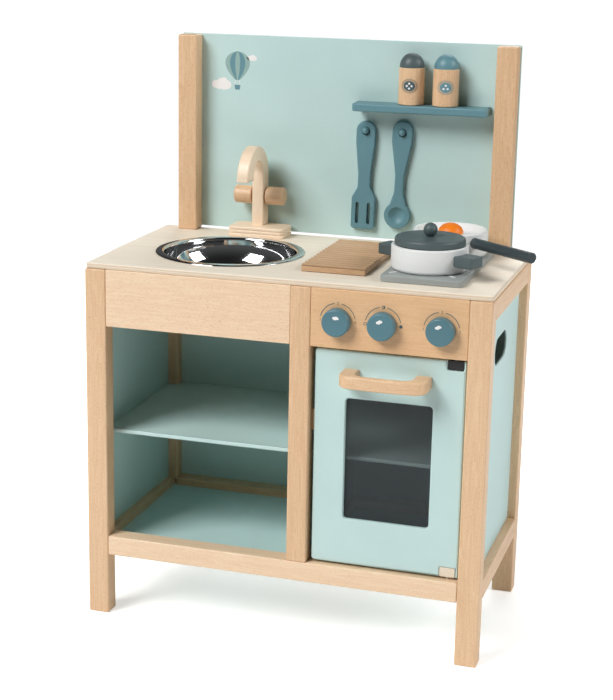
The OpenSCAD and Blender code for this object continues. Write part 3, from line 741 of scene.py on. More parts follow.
def burnerMarks(tree, given):
    ring = geo(tree, "GeometryNodeMeshCircle", {"Vertices": given["Count"], "Radius": given["Ring Radius"]})
    size = {i: given["Mark " + k] for i, k in enumerate(("Length", "Width", "Height"))}
    mark = geo(tree, "GeometryNodeMeshCube", {"Size": geo(tree, "ShaderNodeCombineXYZ", size)})
    outward = geo(tree, "GeometryNodeInputPosition")
    turn = geo(tree, "FunctionNodeAlignRotationToVector", {"Vector": outward}, axis="X")
    marks = geo(tree, "GeometryNodeInstanceOnPoints", {"Points": ring, "Instance": mark, "Rotation": turn})
    return {"Instance": geo(tree, "GeometryNodeTransform", {"Geometry": marks, "Rotation": (0, 0, pi / 4)})}


def makeHob(s):
    low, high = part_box("hob_plate")
    outline = roundedRect(low.x, low.y, high.x, high.y, s["corner"])
    mesh = flatSlab(outline, [], low.z, high.z, s["edge"])
    addPiece("hob_slab", mesh, hobGrey, "carcass", ["hob_plate"])
    centres = [(*middleOf(node).xy, high.z) for node in ("pot_body", "pan_body")]
    mesh = grow(pointsMesh(centres), "burnerMarks", burnerMarks, {
        "Count": 4, "Ring Radius": s["markRadius"], "Mark Length": s["markLength"],
        "Mark Width": s["markWidth"], "Mark Height": s["markHeight"], "Material": printWhite})
    addPiece("burner_marks", mesh, printWhite, "carcass")


makeHob(hobSettings)
print("hob made")


sinkSettings = dict(rim=10 * mm, wall=1.2 * mm, depth=58.4 * mm, wallPower=3.0, floorPower=2.2)


def makeSink(s):
    low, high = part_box("sink_bowl")
    middle = middleOf("sink_bowl")
    outer = (high.x - low.x) / 2
    mouth = outer - s["rim"] - 1 * mm
    base = high.z - 2.4 * mm
    inner, shell = [], []
    for k in range(49):
        # one smooth curve from the upright wall into the nearly flat floor
        a = pi / 2 * k / 48
        across, down = cos(a) ** (2 / s["wallPower"]), sin(a) ** (2 / s["floorPower"])
        inner.append((max(0, mouth - s["wall"]) * across, -(s["depth"] - s["wall"]) * down))
        shell.append((mouth * across, -s["depth"] * down))
    # from the bowl's edge out along the rolled rim and back under it
    lip = [(mouth + a * mm, z * mm) for a, z in ((0.2, 1.3), (1.2, 2.1), (2.6, 2.4))]
    lip += [(outer - a * mm, z * mm) for a, z in ((3.5, 2.3), (1.4, 1.9), (0.4, 1.2), (0, 0.5), (0.3, 0), (1.6, 0.6))]
    lip += [(mouth + a * mm, z * mm) for a, z in ((2.5, 1.0), (1, 0.4))]
    inner[-1], shell[-1] = (0, inner[-1][1]), (0, shell[-1][1])
    profile = inner[::-1] + lip + shell
    mesh = latheMesh(profile[::-1], 160, (middle.x, middle.y, base))
    addPiece("sink_shell", mesh, spunSteel("spunSteel", middle), "sink", ["sink_bowl"], 60)


makeSink(sinkSettings)
print("sink made")


tapSettings = dict(baseCorner=8 * mm, baseEdge=1.8 * mm, bend=48 * mm, arm=27 * mm, foot=26 * mm,
                   slot=21.5 * mm, edge=2.4 * mm, knobLength=27 * mm, knobEdge=2.4 * mm, armTip=1 * mm)


def makeTap(s):
    low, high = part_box("tap_base")
    levels = [low.z + (high.z - low.z) * part for part in (0, 0.36, 0.68, 1)]
    outline = roundedRect(low.x, low.y, high.x, high.y, s["baseCorner"], 8)
    layers = [flatSlab(outline, [], bottom, top, s["baseEdge"]) for bottom, top in zip(levels, levels[1:])]
    addPiece("tap_foot_block", joined(layers), tapBaseWood, "carcass", ["tap_base"])

    low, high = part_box("tap_spout")
    bendY, bendZ = low.y + s["bend"], high.z - s["bend"]
    slotY = low.y + s["arm"] + s["slot"]
    tip = bendZ + s["armTip"]
    outer = [(high.y, low.z)] + arc(bendY, bendZ, s["bend"], 0, 175, 40)
    inside = low.y + s["arm"]
    outer += roundCorners([(low.y, tip + 3 * mm, 0), (low.y, tip, 1.5 * mm), (inside, tip, 1.5 * mm),
                           (inside, tip + 3 * mm, 0)], closed=False)
    outer += arc(slotY, bendZ + 5.5 * mm, s["slot"], 180, 0, 28)
    outer += [(high.y - s["foot"], low.z)]
    mesh = slabMesh(outer, [], high.x - low.x, s["edge"])
    mesh = moved(mesh, Matrix.Translation(((low.x + high.x) / 2, 0, 0)) @ sideways)
    addPiece("tap_hook", mesh, tapWood, "carcass", ["tap_spout"])

    low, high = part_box("tap_knobs")
    r = (high.z - low.z) / 2
    centre = middleOf("tap_knobs")
    e = s["knobEdge"]
    profile = roundCorners([(0, 0, 0), (r, 0, 1.6 * mm), (r, s["knobLength"], e), (0, s["knobLength"], 0)],
        closed=False)
    profile = [profile[0], (r * 0.5, 0)] + profile[1:-1] + [(r * 0.5, s["knobLength"]), profile[-1]]
    left = latheMesh(profile, 64, (low.x + s["knobLength"], centre.y, centre.z), (-1, 0, 0))
    right = latheMesh(profile, 64, (high.x - s["knobLength"], centre.y, centre.z), (1, 0, 0))
    addPiece("tap_knob_pair", joined([left, right]), beechX, "tap_handle", ["tap_knobs"])
    paintNode("tap_axle", beechX)


makeTap(tapSettings)
print("tap made")


boardSettings = dict(ridges=14, ridgeDepth=2.6 * mm, samplesPerRidge=14, bevel=0.9 * mm, bevelAngle=75)


def ridgedBoard(tree, given):
    grid = geo(tree, "GeometryNodeMeshGrid", {
        "Size X": given["Size X"], "Size Y": given["Size Y"], "Vertices X": 2, "Vertices Y": given["Samples"]})
    lift = geo(tree, "ShaderNodeCombineXYZ", {2: given["Thickness"]})
    block = geoNode(tree, "GeometryNodeExtrudeMesh", {
        "Mesh": grid, "Offset": lift, "Offset Scale": 1.0, "Individual": False}, mode="FACES").outputs
    # the top goes down and up in rounded ridges across y
    place = geoNode(tree, "ShaderNodeSeparateXYZ", {0: geo(tree, "GeometryNodeInputPosition")}).outputs
    phase = times(plus(mathNode("DIVIDE", place[1], given["Size Y"]), 0.5), given["Ridges"])
    hump = mathNode("ABSOLUTE", mathNode("SINE", times(phase, pi)))
    dip = geo(tree, "ShaderNodeCombineXYZ", {2: times(minus(hump, 1.0), given["Ridge Depth"])})
    top = geo(tree, "GeometryNodeSetPosition", {"Geometry": block["Mesh"], "Selection": block["Top"], "Offset": dip})
    under = geo(tree, "GeometryNodeFlipFaces", {"Mesh": grid})
    whole = geoJoin(tree, (top, under))
    return {"Instance": geo(tree, "GeometryNodeMergeByDistance", {"Geometry": whole, "Distance": 0.01 * mm})}


def paintGrooveShade(material, top, depth, amount=0.8):
    # painted shade: the floors of the grooves in an upward face are darker than its crests, as if in their own shadow
    tree = material.node_tree
    socket = tree.nodes["Principled BSDF"].inputs["Base Color"]
    color = socket.links[0].from_socket
    # painted shade mask, strongest at the groove floors, mixed towards a dark brown below
    deep = rampNode(splitCoords(tree)[2], top - depth, top - depth * 0.25, amount, 0.0)
    dark = mixColor(deep, color, (0.17, 0.085, 0.04))
    setSocket(socket, mixColor(rampNode(facing(tree, 2), 0.35, 0.6), color, dark))


def makeBoard(s):
    low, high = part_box("cutting_board")
    middle, size = middleOf("cutting_board"), high - low
    # painted shade in the grooves of the board's top
    paintGrooveShade(boardWood, high.z, s["ridgeDepth"])
    mesh = grow(pointsMesh([(middle.x, middle.y, low.z)]), "ridgedBoard", ridgedBoard, {
        "Size X": size.x, "Size Y": size.y, "Thickness": size.z, "Ridges": float(s["ridges"]),
        "Ridge Depth": s["ridgeDepth"], "Samples": s["ridges"] * s["samplesPerRidge"] + 1, "Material": boardWood})
    tidyMesh(mesh)
    piece = newObject("blank", mesh)
    bevel = piece.modifiers.new("edge", "BEVEL")
    bevel.width, bevel.segments, bevel.angle_limit = s["bevel"], 2, radians(s["bevelAngle"])
    mesh = applied(piece)
    bpy.data.objects.remove(piece)
    addPiece("ridged_board", mesh, boardWood, "board", ["cutting_board"], 50, False)


makeBoard(boardSettings)
print("board made")


potSettings = dict(wall=6 * mm, rimEdge=2.4 * mm, baseEdge=5 * mm, handleReach=25.5 * mm, handleWidth=28 * mm,
                   handleEdge=1.6 * mm, turn=-24)


def makePot(s):
    low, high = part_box("pot_body")
    centre = middleOf("pot_body")
    r, h = (high.x - low.x) / 2, high.z - low.z
    w = s["wall"]
    profile = roundCorners([(0, 0, 0), (r, 0, s["baseEdge"]), (r, h, s["rimEdge"]), (r - w, h, s["rimEdge"]),
        (r - w, w, 4 * mm), (0, w, 0)], closed=False)
    profile.insert(1, (r * 0.6, 0))
    profile.insert(-1, (r * 0.5, w))
    addPiece("pot_shell", latheMesh(profile, 128, (*centre.xy, low.z)), potWhite, "pot", ["pot_body"])

    low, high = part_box("pot_handles")
    half = s["handleWidth"] / 2
    reach = r + s["handleReach"]
    blocks = []
    for side in (0, 180):
        start = math.degrees(math.asin(half / (r - 0.3 * mm)))
        inner = arc(0, 0, r - 0.3 * mm, start, -start, 10)
        outline = roundCorners([(inner[-1][0], -half, 0), (reach, -half, 3 * mm), (reach, half, 3 * mm),
            (inner[0][0], half, 0)], closed=False) + inner[1:-1]
        mesh = slabMesh(outline, [], high.z - low.z, s["handleEdge"])
        moved(mesh, Matrix.Rotation(radians(s["turn"] + side), 4, "Z"))
        blocks.append(shifted(mesh, centre.x, centre.y, (low.z + high.z) / 2))
    addPiece("pot_grip_pair", joined(blocks), slate, "pot", ["pot_handles"])

    low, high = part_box("pot_lid")
    r, plug = (high.x - low.x) / 2, 4 * mm
    h = high.z - low.z
    profile = roundCorners([(0, 0, 0), (r - 3.5 * mm, 0, 1 * mm), (r - 3.5 * mm, plug, 0.4 * mm),
        (r, plug, 1.2 * mm), (r, h, 4 * mm), (0, h, 0)], closed=False)
    profile.insert(1, (r * 0.5, 0))
    profile.insert(-1, (r * 0.8, h))
    profile.insert(-1, (r * 0.4, h))
    addPiece("lid_disc", latheMesh(profile, 128, (*centre.xy, low.z)), slate, "lid", ["pot_lid"])

    low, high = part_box("lid_knob")
    r = (high.x - low.x) / 2
    ball = [(r * cos(radians(a)), high.z - low.z - r + r * sin(radians(a))) for a in range(-70, 90, 5)]
    profile = [(0, 0), (ball[0][0], 0)] + ball + [(0, high.z - low.z)]
    addPiece("lid_ball", latheMesh(profile, 48, (*centre.xy, low.z)), slate, "lid", ["lid_knob"])


makePot(potSettings)

panSettings = dict(turn=-38.5, gripRadius=7.3 * mm, gripLength=116 * mm, gripEdge=1 * mm)


def makePan(s):
    low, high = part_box("pan_body")
    centre = middleOf("pan_body")
    r, h = (high.x - low.x) / 2, high.z - low.z
    profile = roundCorners([(0, 0, 0), (r, 0, 5 * mm), (r, h, 2.2 * mm), (r - 5.5 * mm, h, 1.6 * mm),
        (r - 13 * mm, h - 8.5 * mm, 8 * mm), (r - 24 * mm, h - 11 * mm, 12 * mm), (0, h - 11 * mm, 0)], closed=False)
    profile.insert(1, (r * 0.6, 0))
    addPiece("pan_shell", latheMesh(profile, 128, (*centre.xy, low.z)), potWhite, "pan", ["pan_body"])

    gripZ = middleOf("pan_handle").z
    g, e = s["gripRadius"], s["gripEdge"]
    direction = Vector((cos(radians(s["turn"])), sin(radians(s["turn"])), 0))
    start = centre + direction * (r - 2 * mm)
    length = s["gripLength"] + 2 * mm
    profile = roundCorners([(0, 0, 0), (g, 0, 0.5 * mm), (g, length, e), (0, length, 0)], closed=False)
    profile.insert(-1, (g * 0.5, length))
    addPiece("pan_grip", latheMesh(profile, 48, (start.x, start.y, gripZ), direction), darkSlate, "pan",
        ["pan_handle"])

    low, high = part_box("play_yolk")
    r, h = (high.x - low.x) / 2, high.z - low.z
    dome = [(r * cos(radians(a)), 5 * mm + (h - 5 * mm) * sin(radians(a))) for a in range(0, 90, 5)]
    profile = [(0, 0), (r * 0.6, 0), (r - 1.5 * mm, 0), (r - 0.4 * mm, 1.6 * mm)] + dome + [(0, h)]
    addPiece("yolk_dome", latheMesh(profile, 64, (*centre.xy, low.z)), yolkOrange, "yolk",
        ["play_yolk"], 60)


makePan(panSettings)
print("cookware made")


ledgeSettings = dict(corner=5 * mm, edge=2.4 * mm)


def makeLedge(s):
    low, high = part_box("ledge")
    outline = roundCorners([(low.x, low.y, s["corner"]), (high.x, low.y, s["corner"]), (high.x, high.y, 1 * mm),
        (low.x, high.y, 1 * mm)])
    addPiece("ledge_board", flatSlab(outline, [], low.z, high.z, s["edge"], 4), teal, "carcass",
        ["ledge"])

    low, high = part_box("utensil_pegs")
    r, length = (high.z - low.z) / 2, high.y - low.y
    profile = [(0, 0), (r, 0)] + arc(0, length - r, r, 0, 85, 12) + [(0, length)]
    z = (low.z + high.z) / 2
    pegs = [latheMesh(profile, 40, (x, high.y, z), (0, -1, 0)) for x in (low.x + r, high.x - r)]
    addPiece("peg_pair", joined(pegs), teal, "carcass", ["utensil_pegs"])


makeLedge(ledgeSettings)

shakerSettings = dict(bodyHeight=52 * mm, capRadius=17.4 * mm, badgeHeight=27.3 * mm)


def curvedPrint(shape, centre, radius, height, facingAngle, lift=0.12 * mm):
    # wraps a flat print round an upright cylinder, angle 0 looks to the front
    bm = bmesh.new()
    bm.from_mesh(shape)
    for v in bm.verts:
        a = radians(facingAngle) + v.co.x / radius
        r = radius + lift + v.co.z
        z = v.co.y
        v.co = Vector((centre.x + r * sin(a), centre.y - r * cos(a), height + z))
    bmesh.ops.recalc_face_normals(bm, faces=bm.faces)
    bm.to_mesh(shape)
    bm.free()
    return shape


def ovalBand(inner, outer, squash, thickness=0.1 * mm, segments=64, steps=3):
    # a closed thin band between two ovals, or a disc where inner is 0
    bm = bmesh.new()
    layers = []
    for z in (0, thickness):
        rings = []
        for i in range(steps + 1):
            r = inner + (outer - inner) * i / steps
            if r < 1e-7:
                rings.append([bm.verts.new((0, 0, z))])
            else:
                rings.append([bm.verts.new((r * cos(2 * pi * k / segments),
                    squash * r * sin(2 * pi * k / segments), z)) for k in range(segments)])
        layers.append(rings)
    for rings in layers:
        for a, b in zip(rings, rings[1:]):
            for k in range(segments):
                n = (k + 1) % segments
                bm.faces.new((a[0], b[k], b[n]) if len(a) == 1 else (a[k], b[k], b[n], a[n]))
    for side in (-1, 0) if inner > 1e-7 else (-1,):
        a, b = layers[0][side], layers[1][side]
        for k in range(segments):
            n = (k + 1) % segments
            bm.faces.new((a[k], a[n], b[n], b[k]))
    bmesh.ops.recalc_face_normals(bm, faces=bm.faces)
    mesh = bpy.data.meshes.new("band")
    bm.to_mesh(mesh)
    bm.free()
    return mesh


def makeShaker(name, node, body, capPaint, badgePaint, look, dots, s):
    low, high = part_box(node)
    centre = middleOf(node)
    r, h = (high.x - low.x) / 2, s["bodyHeight"]
    profile = roundCorners([(0, 0, 0), (r, 0, 1.6 * mm), (r, h, 1 * mm), (0, h, 0)], closed=False)
    profile.insert(1, (r * 0.6, 0))
    addPiece(name + "_body", latheMesh(profile, 72, (*centre.xy, low.z)), beechZ, body, [node])
    c, domeHeight = s["capRadius"], high.z - low.z - h
    dome = [(c * cos(radians(a)), 1.5 * mm + (domeHeight - 1.5 * mm) * sin(radians(a))) for a in range(0, 90, 5)]
    profile = [(0, 0), (c, 0)] + dome + [(0, domeHeight)]
    addPiece(name + "_cap", latheMesh(profile, 72, (centre.x, centre.y, low.z + h)), capPaint, body, (), 60)
    badgeZ = low.z + s["badgeHeight"]
    bands = [ovalBand(0, 8.4 * mm, 0.84, steps=8), ovalBand(9.6 * mm, 10.1 * mm, 0.84),
        ovalBand(11.1 * mm, 11.7 * mm, 0.84)]
    bands = [curvedPrint(b, centre, r, badgeZ, look) for b in bands]
    addPiece(name + "_badge", joined(bands), badgePaint, body)
    spots = []
    for x, y in dots:
        spot = ovalBand(0, 1.5 * mm, 1.0, segments=20)
        spots.append(curvedPrint(shifted(spot, x * mm, y * mm, 0), centre, r, badgeZ, look, 0.25 * mm))
    addPiece(name + "_dots", joined(spots), printWhite, body)


makeShaker("salt", "salt_shaker", "salt", slate, printDark, 3,
    [(0, 3.4), (3.4, 0), (0, -3.4), (-3.4, 0)], shakerSettings)
makeShaker("pepper", "pepper_shaker", "pepper", teal, printTeal, 11,
    [(0, 2.8), (2.8, -1.8), (-2.8, -1.8)], shakerSettings)
print("shelf and shakers made")


utensilSettings = dict(eye=6.2 * mm, eyeDrop=0.9 * mm, edge=2 * mm, spoonLean=2.2, spatulaLean=0.9)


def mirroredOutline(rightSide):
    # rightSide runs from top to bottom at x > 0, as (x, y, radius)
    leftSide = [(-x, y, r) for x, y, r in reversed(rightSide)]
    return roundCorners(rightSide + leftSide, steps=8)


def hangUtensil(name, node, outline, holes, s, lean=0, dish=None):
    low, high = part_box(node)
    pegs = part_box("utensil_pegs")
    pegZ = (pegs[0].z + pegs[1].z) / 2
    pegX = pegs[0].x + 5 * mm if node == "spatula" else pegs[1].x - 5 * mm
    eye = arc(0, -s["eyeDrop"], s["eye"], 0, 352.5, 47)
    outline = [(x * mm, y * mm) for x, y in outline]
    holes = [[(x * mm, y * mm) for x, y in h] for h in holes]
    thickness = high.y - low.y
    mesh = slabMesh(outline, [], thickness, s["edge"], 4)
    turn = Matrix.Rotation(radians(-lean), 4, "Z")
    mesh = moved(mesh, turn)
    for hole in [eye] + holes:
        cutter = slabMesh(hole, [], thickness * 1.5, 0.05 * mm, 0)
        mesh = cutBy(mesh, cutter if hole is eye else moved(cutter, turn))
    if dish:
        x, y, r, rise = dish
        ball = latheMesh([(0, -r)] + [(r * cos(radians(a)), r * sin(radians(a)))
            for a in range(-85, 90, 5)] + [(0, r)], 96)
        spot = turn @ Vector((x, y, 0))
        mesh = cutBy(mesh, shifted(ball, spot.x, spot.y, thickness / 2 + rise))
    mesh = stoodUp(mesh, pegX, (low.y + high.y) / 2, pegZ)
    addPiece(name, mesh, teal, node, [node], 32)


spatulaSide = [(14.3, 13.8, 14.2), (14.3, -18, 60), (9.3, -62, 50), (9.3, -83, 14), (17.6, -98, 10),
    (17.6, -144, 4.5)]
slots = [roundedRect(x - 2.6, -136, x + 2.6, -105, 2.55) for x in (-8.5, 8.5)]
hangUtensil("slotted_spatula", "spatula", mirroredOutline(spatulaSide), slots, utensilSettings,
    utensilSettings["spatulaLean"])


def spoonOutline():
    # a rounded head, a waist, and a round bowl met by a smooth flare
    bowl = arc(0, -121, 19.5, 52, -232, 60)
    right = roundCorners([(0, 16.5, 0), (15, 16.5, 14.6), (15, -14, 60), (6.7, -62, 50), (6.7, -88, 26),
        (bowl[0][0], bowl[0][1], 0)], closed=False, steps=8)
    left = [(-x, y) for x, y in reversed(right[1:-1])]
    return right[:-1] + bowl + left


hangUtensil("spoon_blank", "spoon", spoonOutline(), [], utensilSettings, utensilSettings["spoonLean"],
    (0, -121 * mm, 17 * mm, 11.4 * mm))
print("utensils made")


knobSettings = dict(edge=3 * mm, backEdge=1 * mm, pointerReach=7.2 * mm)


def blobOutline(circles, steps=72):
    # the outer line of overlapping circles, seen from the first one's middle
    out = []
    cx, cy = circles[0][:2]
    for k in range(steps):
        direction = Vector((cos(2 * pi * k / steps), sin(2 * pi * k / steps)))
        best = 0
        for x, y, r in circles:
            to = Vector((x - cx, y - cy))
            near = to.dot(direction)
            gap = to.length_squared - near * near
            if gap < r * r:
                best = max(best, near + math.sqrt(r * r - gap))
        out.append((cx + direction.x * best, cy + direction.y * best))
    return out


def makeKnob(side, pointerTurn, s):
    low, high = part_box(side + "_knob")
    centre = middleOf(side + "_knob")
    r, depth = (high.x - low.x) / 2, high.y - low.y
    profile = roundCorners(
        [(0, 0, 0), (r, 0, s["backEdge"]), (r, depth, s["edge"]), (0, depth, 0)], closed=False, steps=8)
    profile.insert(1, (r * 0.6, 0))
    profile.insert(-1, (r * 0.72, depth))
    profile.insert(-1, (r * 0.4, depth))
    addPiece(side + "_knob_cap", latheMesh(profile, 96, (centre.x, high.y, centre.z), (0, -1, 0)), knobTeal,
        side + "_control", [side + "_knob"])
    puff = blobOutline([(0, 0, 2.3), (-2.6, -0.2, 1.7), (2.7, 0.1, 1.6), (0.9, 0.7, 2.0), (-0.9, -0.7, 1.9)])
    puff = [(x * mm, y * mm) for x, y in puff]
    mesh = shifted(slabMesh(puff, [], 0.2 * mm, 0.05 * mm, 1), 0, s["pointerReach"], 0)
    moved(mesh, Matrix.Rotation(radians(pointerTurn), 4, "Z"))
    mesh = stoodUp(mesh, centre.x, low.y - 0.05 * mm, centre.z)
    addPiece(side + "_knob_mark", mesh, printWhite, side + "_control")
    paintNode(side + "_spindle", beechY)


for knobSide, turn in (("left", -8), ("middle", 12), ("right", 12)):
    makeKnob(knobSide, turn, knobSettings)

dialSettings = dict(radius=23.7 * mm, lineWidth=0.9 * mm, lineHeight=0.2 * mm, gap=12, textSize=5 * mm,
                    ringOuter=2.3 * mm, ringInner=1.6 * mm, halfDisc=2 * mm)


def dialArcs(tree, given):
    section = geo(tree, "GeometryNodeCurvePrimitiveQuadrilateral", {
        "Width": given["Line Width"], "Height": given["Line Height"]}, mode="RECTANGLE")
    lines = []
    for offset in (0.0, pi / 2):
        line = geo(tree, "GeometryNodeCurveArc", {
            "Resolution": 24, "Radius": given["Radius"], "Start Angle": plus(given["Start"], offset),
            "Sweep Angle": given["Sweep"]}, mode="RADIUS")
        lines.append(geo(tree, "GeometryNodeCurveToMesh", {"Curve": line, "Profile Curve": section,
            "Fill Caps": True}))
    arcs = geoJoin(tree, lines)
    return {"Instance": geo(tree, "GeometryNodeTransform", {"Geometry": arcs, "Rotation": (pi / 2, 0, 0)})}


def textMesh(words, size):
    curve = bpy.data.curves.new("numeral", "FONT")
    curve.body = words
    curve.size = size
    curve.align_x, curve.align_y = "CENTER", "CENTER"
    curve.extrude = 0.1 * mm
    holder = newObject("numeral", curve)
    mesh = applied(holder)
    bpy.data.objects.remove(holder)
    return mesh


def makeDials(s):
    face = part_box("control_panel")[0].y
    middles = [middleOf(side + "_knob") for side in ("left", "middle", "right")]
    centres = [Vector((m.x, face, m.z)) for m in middles]
    gap = radians(s["gap"])
    marks = [grow(pointsMesh(centres), "dialArcs", dialArcs, {
        "Radius": s["radius"], "Line Width": s["lineWidth"], "Line Height": s["lineHeight"],
        "Start": gap, "Sweep": pi / 2 - 2 * gap, "Material": printDark})]

    def mark(mesh, centre, angle):
        spot = centre + Vector((cos(radians(angle)), 0, sin(radians(angle)))) * s["radius"]
        marks.append(moved(mesh, Matrix.Translation(spot) @ upright))

    for centre in (centres[0], centres[2]):
        for angle, label in zip((180, 90, 0), "123"):
            mark(textMesh(label, s["textSize"]), centre, angle)
    for angle, inner in ((180, s["ringInner"]), (90, s["ringInner"]), (0, 0)):
        mark(ovalBand(inner, s["ringOuter"], 1, 0.12 * mm, 40), centres[1], angle)
    mark(slabMesh(arc(0, 0, s["halfDisc"], -90, 90, 20), [], 0.16 * mm, 0.02 * mm, 0), centres[1], 90)
    addPiece("dial_prints", joined(marks), printDark, "carcass")


makeDials(dialSettings)
print("knobs made")


doorSettings = dict(edge=2.4 * mm, corner=5 * mm, notch=0.4 * mm, notchCorner=2.5 * mm, rebate=5 * mm)


def makeDoor(s):
    low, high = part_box("oven_door")
    top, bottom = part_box("upper_hinge_block"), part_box("lower_hinge_block")
    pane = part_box("door_window")
    g, c = s["notch"], s["notchCorner"]
    outline = roundCorners([
        (low.x, low.z, s["corner"]),
        (bottom[0].x - g, low.z, 1.5 * mm), (bottom[0].x - g, bottom[1].z + g, c), (bottom[1].x + g,
            bottom[1].z + g, c), (bottom[1].x + g, low.z, 0.6 * mm),
        (high.x, low.z, 1 * mm), (high.x, high.z, 1 * mm),
        (top[1].x + g, high.z, 0.6 * mm), (top[1].x + g, top[0].z - g, c), (top[0].x - g, top[0].z - g,
            c), (top[0].x - g, high.z, 1.5 * mm),
        (low.x, high.z, s["corner"])])
    r = s["rebate"]
    window = roundedRect(pane[0].x + r, pane[0].z + r, pane[1].x - r, pane[1].z - r, 5 * mm, 8)
    mesh = slabMesh(outline, [window], high.y - low.y, s["edge"], 4)
    mesh = stoodUp(mesh, 0, (low.y + high.y) / 2, 0)
    bed = slabMesh(roundedRect(pane[0].x, pane[0].z, pane[1].x, pane[1].z, 6 * mm, 8), [], 10 * mm, 0.01 * mm, 0)
    mesh = cutBy(mesh, stoodUp(bed, 0, pane[0].y + 5 * mm, 0))
    addPiece("door_panel", mesh, mint, "door", ["oven_door"], 32)
    paintNode("door_window", smoked)
    for node, finish, slot in (("upper_hinge_block", blackPlastic, "black_plastic"),
            ("lower_hinge_block", plywood, "birch_ply")):
        a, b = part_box(node)
        block = slabMesh(roundedRect(a.x, a.z, b.x, b.z, 1.6 * mm), [], b.y - a.y, 0.8 * mm)
        addPiece(node + "_moulding", stoodUp(block, 0, (a.y + b.y) / 2, 0), finish, "door", [node])
    for node in ("hinge_pins", "door_strike", "door_magnet"):
        paintNode(node, plated)


makeDoor(doorSettings)

gripSettings = dict(foot=21 * mm, thickness=10 * mm, shoulder=19 * mm, innerShoulder=12 * mm, crown=3 * mm,
                    edge=3 * mm)


def makeGrip(s):
    low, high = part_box("door_handle")
    middle = (low.x + high.x) / 2
    half, reach = (high.x - low.x) / 2, high.y - low.y
    inner = half - s["foot"]
    deep = reach - s["thickness"]
    outline = roundCorners([
        (-half, 0, 0), (-half, -(reach - s["crown"]), s["shoulder"]), (0, -reach - 1.4 * mm, 500 * mm), (half,
            -(reach - s["crown"]), s["shoulder"]), (half, 0, 0),
        (inner, 0, 0), (inner, -deep + 1.5 * mm, s["innerShoulder"]), (0, -deep - 0.4 * mm, 500 * mm), (-inner,
            -deep + 1.5 * mm, s["innerShoulder"]), (-inner, 0, 0)], steps=10)
    mesh = slabMesh(outline, [], high.z - low.z, s["edge"], 4)
    addPiece("door_grip", shifted(mesh, middle, high.y, (low.z + high.z) / 2), beechX, "door", ["door_handle"])


makeGrip(gripSettings)
print("door made")


printThickness = 0.2 * mm
printSettings = dict(x=111 * mm, z=751 * mm, halfWidth=19 * mm, height=44 * mm)


def printPiece(name, loops, y, finish):
    meshes = [stoodUp(slabMesh(loop, [], printThickness, 0.02 * mm, 0), 0, y, 0) for loop in loops]
    addPiece(name, joined(meshes), finish, "carcass")


def makeSplashPrints(s):
    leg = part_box("front_legs")[0]
    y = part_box("splashback_panel")[0].y
    cx, cz = leg.x + s["x"], s["z"]
    h, w = s["height"], s["halfWidth"]

    def side(t, k):
        # a point on a balloon seam: t runs from the neck to the crown, k from -1 to 1
        u = 1 - (1 - t) ** 0.72
        return (cx + k * w * (sin(pi * u) ** 0.8 if 0 < u < 1 else 0), cz - h / 2 + h * t)

    edges = (-1, -0.62, -0.2, 0.2, 0.62, 1)
    gores = []
    for a, b in zip(edges, edges[1:]):
        gores.append([side(i / 20, a) for i in range(1, 20)] + [side(1, 0)] + [side(i / 20, b)
            for i in range(19, 0, -1)])
    printPiece("balloon_dark_gores", [gores[1], gores[3]], y, printTeal)
    printPiece("balloon_pale_gores", [gores[0], gores[2], gores[4]], y, printSage)
    base, rim = cz - h / 2 - 12 * mm, cz - h / 2 - 5 * mm
    basket = roundCorners([
        (cx - 3.6 * mm, base, 1.5 * mm), (cx + 3.6 * mm, base, 1.5 * mm),
        (cx + 4.6 * mm, rim, 0.6 * mm), (cx - 4.6 * mm, rim, 0.6 * mm)])
    printPiece("balloon_basket", [basket], y, printTeal)
    w, top = 0.3 * mm, cz - h / 2 + 2 * mm
    ends = [(cx + k * 4 * mm, cx + k * 3 * mm) for k in (-1, 1)]
    ropes = [[(a - w, rim), (a + w, rim), (b + w, top), (b - w, top)] for a, b in ends]
    clouds = []
    for x, z, size in ((cx - 25 * mm, cz - 26 * mm, 1.0), (cx + 22 * mm, cz + 13 * mm, 0.5)):
        puff = blobOutline([(0, 0, 8), (-9, -1, 6), (9, -1.5, 6.5), (3.5, 3, 6), (-3.5, -2.5, 6), (4, -3, 6)])
        clouds.append([(x + a * size * mm, z + b * size * mm) for a, b in puff])
    printPiece("cloud_prints", ropes + clouds, y, printWhite)


makeSplashPrints(printSettings)
print("prints made")


def rayKind(tree, kind):
    return tree.nodes.new("ShaderNodeLightPath").outputs[kind]


def addFloor(radius=2.6, segments=96):
    # a round sheet of paper; past the object it glows, as a lit backdrop does
    material, tree, shader = newMaterial("floorPaper")
    setSocket(shader.inputs["Base Color"], mixColor(grain(tree, 0.7, 1, 2), (0.90, 0.90, 0.90), (0.93, 0.93, 0.93)))
    setSocket(shader.inputs["Roughness"], 0.9)
    setSocket(shader.inputs["Emission Color"], (1, 1, 1))
    x, y = splitCoords(tree)[:2]
    far = mathNode("SQRT", plus(times(x, x), times(y, y)))
    glow = rampNode(far, 0.3, 1.2, 0.45, 1.05)
    seen = rampNode(rayKind(tree, "Is Camera Ray"), 0, 1, 0.2, 1.0)
    setSocket(shader.inputs["Emission Strength"], times(glow, seen))
    bm = bmesh.new()
    bmesh.ops.create_circle(bm, cap_ends=True, segments=segments, radius=radius)
    mesh = bpy.data.meshes.new("floor")
    bm.to_mesh(mesh)
    bm.free()
    mesh.materials.append(material)
    newObject("floor", mesh)


def addSoftbox(name, azimuth, elevation, distance, size, power, target=(0, 0, 0.42)):
    # azimuth 0 is straight in front of the kitchen, positive to its right
    a, e = radians(azimuth), radians(elevation)
    place = Vector(target) + Vector((sin(a) * cos(e), -cos(a) * cos(e), sin(e))) * distance
    light = bpy.data.lights.new(name, "AREA")
    light.shape = "RECTANGLE"
    light.size, light.size_y = size
    light.energy = power
    lamp = newObject(name, light)
    lamp.location = place
    lamp.rotation_euler = (Vector(target) - place).to_track_quat("-Z", "Y").to_euler()


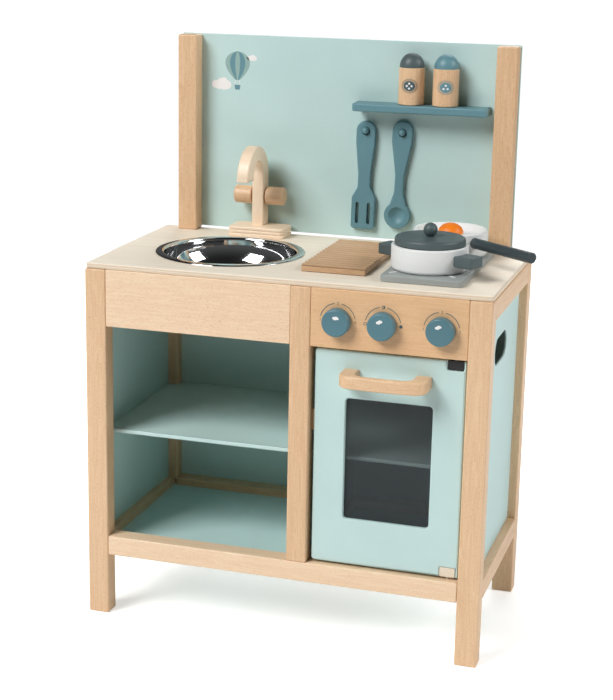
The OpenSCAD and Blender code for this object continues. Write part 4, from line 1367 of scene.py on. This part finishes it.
worldSettings = dict(fill=0.035, roomLow=0.12, roomHigh=0.02, white=1.05)


def addWorld(s):
    # white behind everything, a weak even fill, and a dark room for shiny metal to reflect
    world = bpy.data.worlds.new("studio")
    world.use_nodes = True
    tree = world.node_tree

    def background(color, strength):
        node = tree.nodes.new("ShaderNodeBackground")
        setSocket(node.inputs["Color"], color)
        setSocket(node.inputs["Strength"], strength)
        return node.outputs[0]

    def choose(ray, first, second):
        node = tree.nodes.new("ShaderNodeMixShader")
        for socket, value in zip(node.inputs, (rayKind(tree, ray), first, second)):
            setSocket(socket, value)
        return node.outputs[0]

    fill = background((0.97, 0.99, 1.0), s["fill"])
    height = splitCoords(tree, "Generated")[2]
    room = background((0.8, 0.8, 0.8), rampNode(height, -0.1, 0.8, s["roomLow"], s["roomHigh"]))
    white = background((1, 1, 1), s["white"])
    shown = choose("Is Camera Ray", choose("Is Glossy Ray", fill, room), white)
    setSocket(tree.nodes["World Output"].inputs[0], shown)
    scene.world = world


cameraSettings = dict(place=(913.3, -1998.5, 968.7), yaw=17.68, pitch=-14.65, roll=0.89, focal=84.62,
                      shiftX=0.0414, shiftY=-0.009)


def addCamera(s):
    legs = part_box("front_legs")[0]
    yaw, pitch, roll = radians(s["yaw"]), radians(s["pitch"]), radians(s["roll"])
    right = Vector((cos(yaw), sin(yaw), 0))
    ahead = Vector((-sin(yaw) * cos(pitch), cos(yaw) * cos(pitch), sin(pitch)))
    up = right.cross(ahead)
    right, up = right * cos(roll) + up * sin(roll), up * cos(roll) - right * sin(roll)
    place = Vector((legs.x, legs.y, 0)) + Vector(s["place"]) * mm
    lens = bpy.data.cameras.new("camera")
    lens.lens, lens.sensor_width, lens.sensor_fit = s["focal"], 36, "AUTO"
    lens.shift_x, lens.shift_y = s["shiftX"], s["shiftY"]
    lens.clip_start, lens.clip_end = 0.05, 100
    scene.camera = newObject("camera", lens)
    turn = Matrix((right, up, -ahead)).transposed().to_4x4()
    scene.camera.matrix_world = Matrix.Translation(place) @ turn


addFloor()
addWorld(worldSettings)
addSoftbox("leftSoftbox", -35, 41, 7.5, (3.4, 3.4), 500)
addSoftbox("rightSoftbox", 90, 30, 5, (1.9, 2.3), 118)
addSoftbox("backSoftbox", 180, 36, 4, (2.4, 1.6), 70)
addCamera(cameraSettings)
scene.view_settings.view_transform = "Standard"
print("studio made")
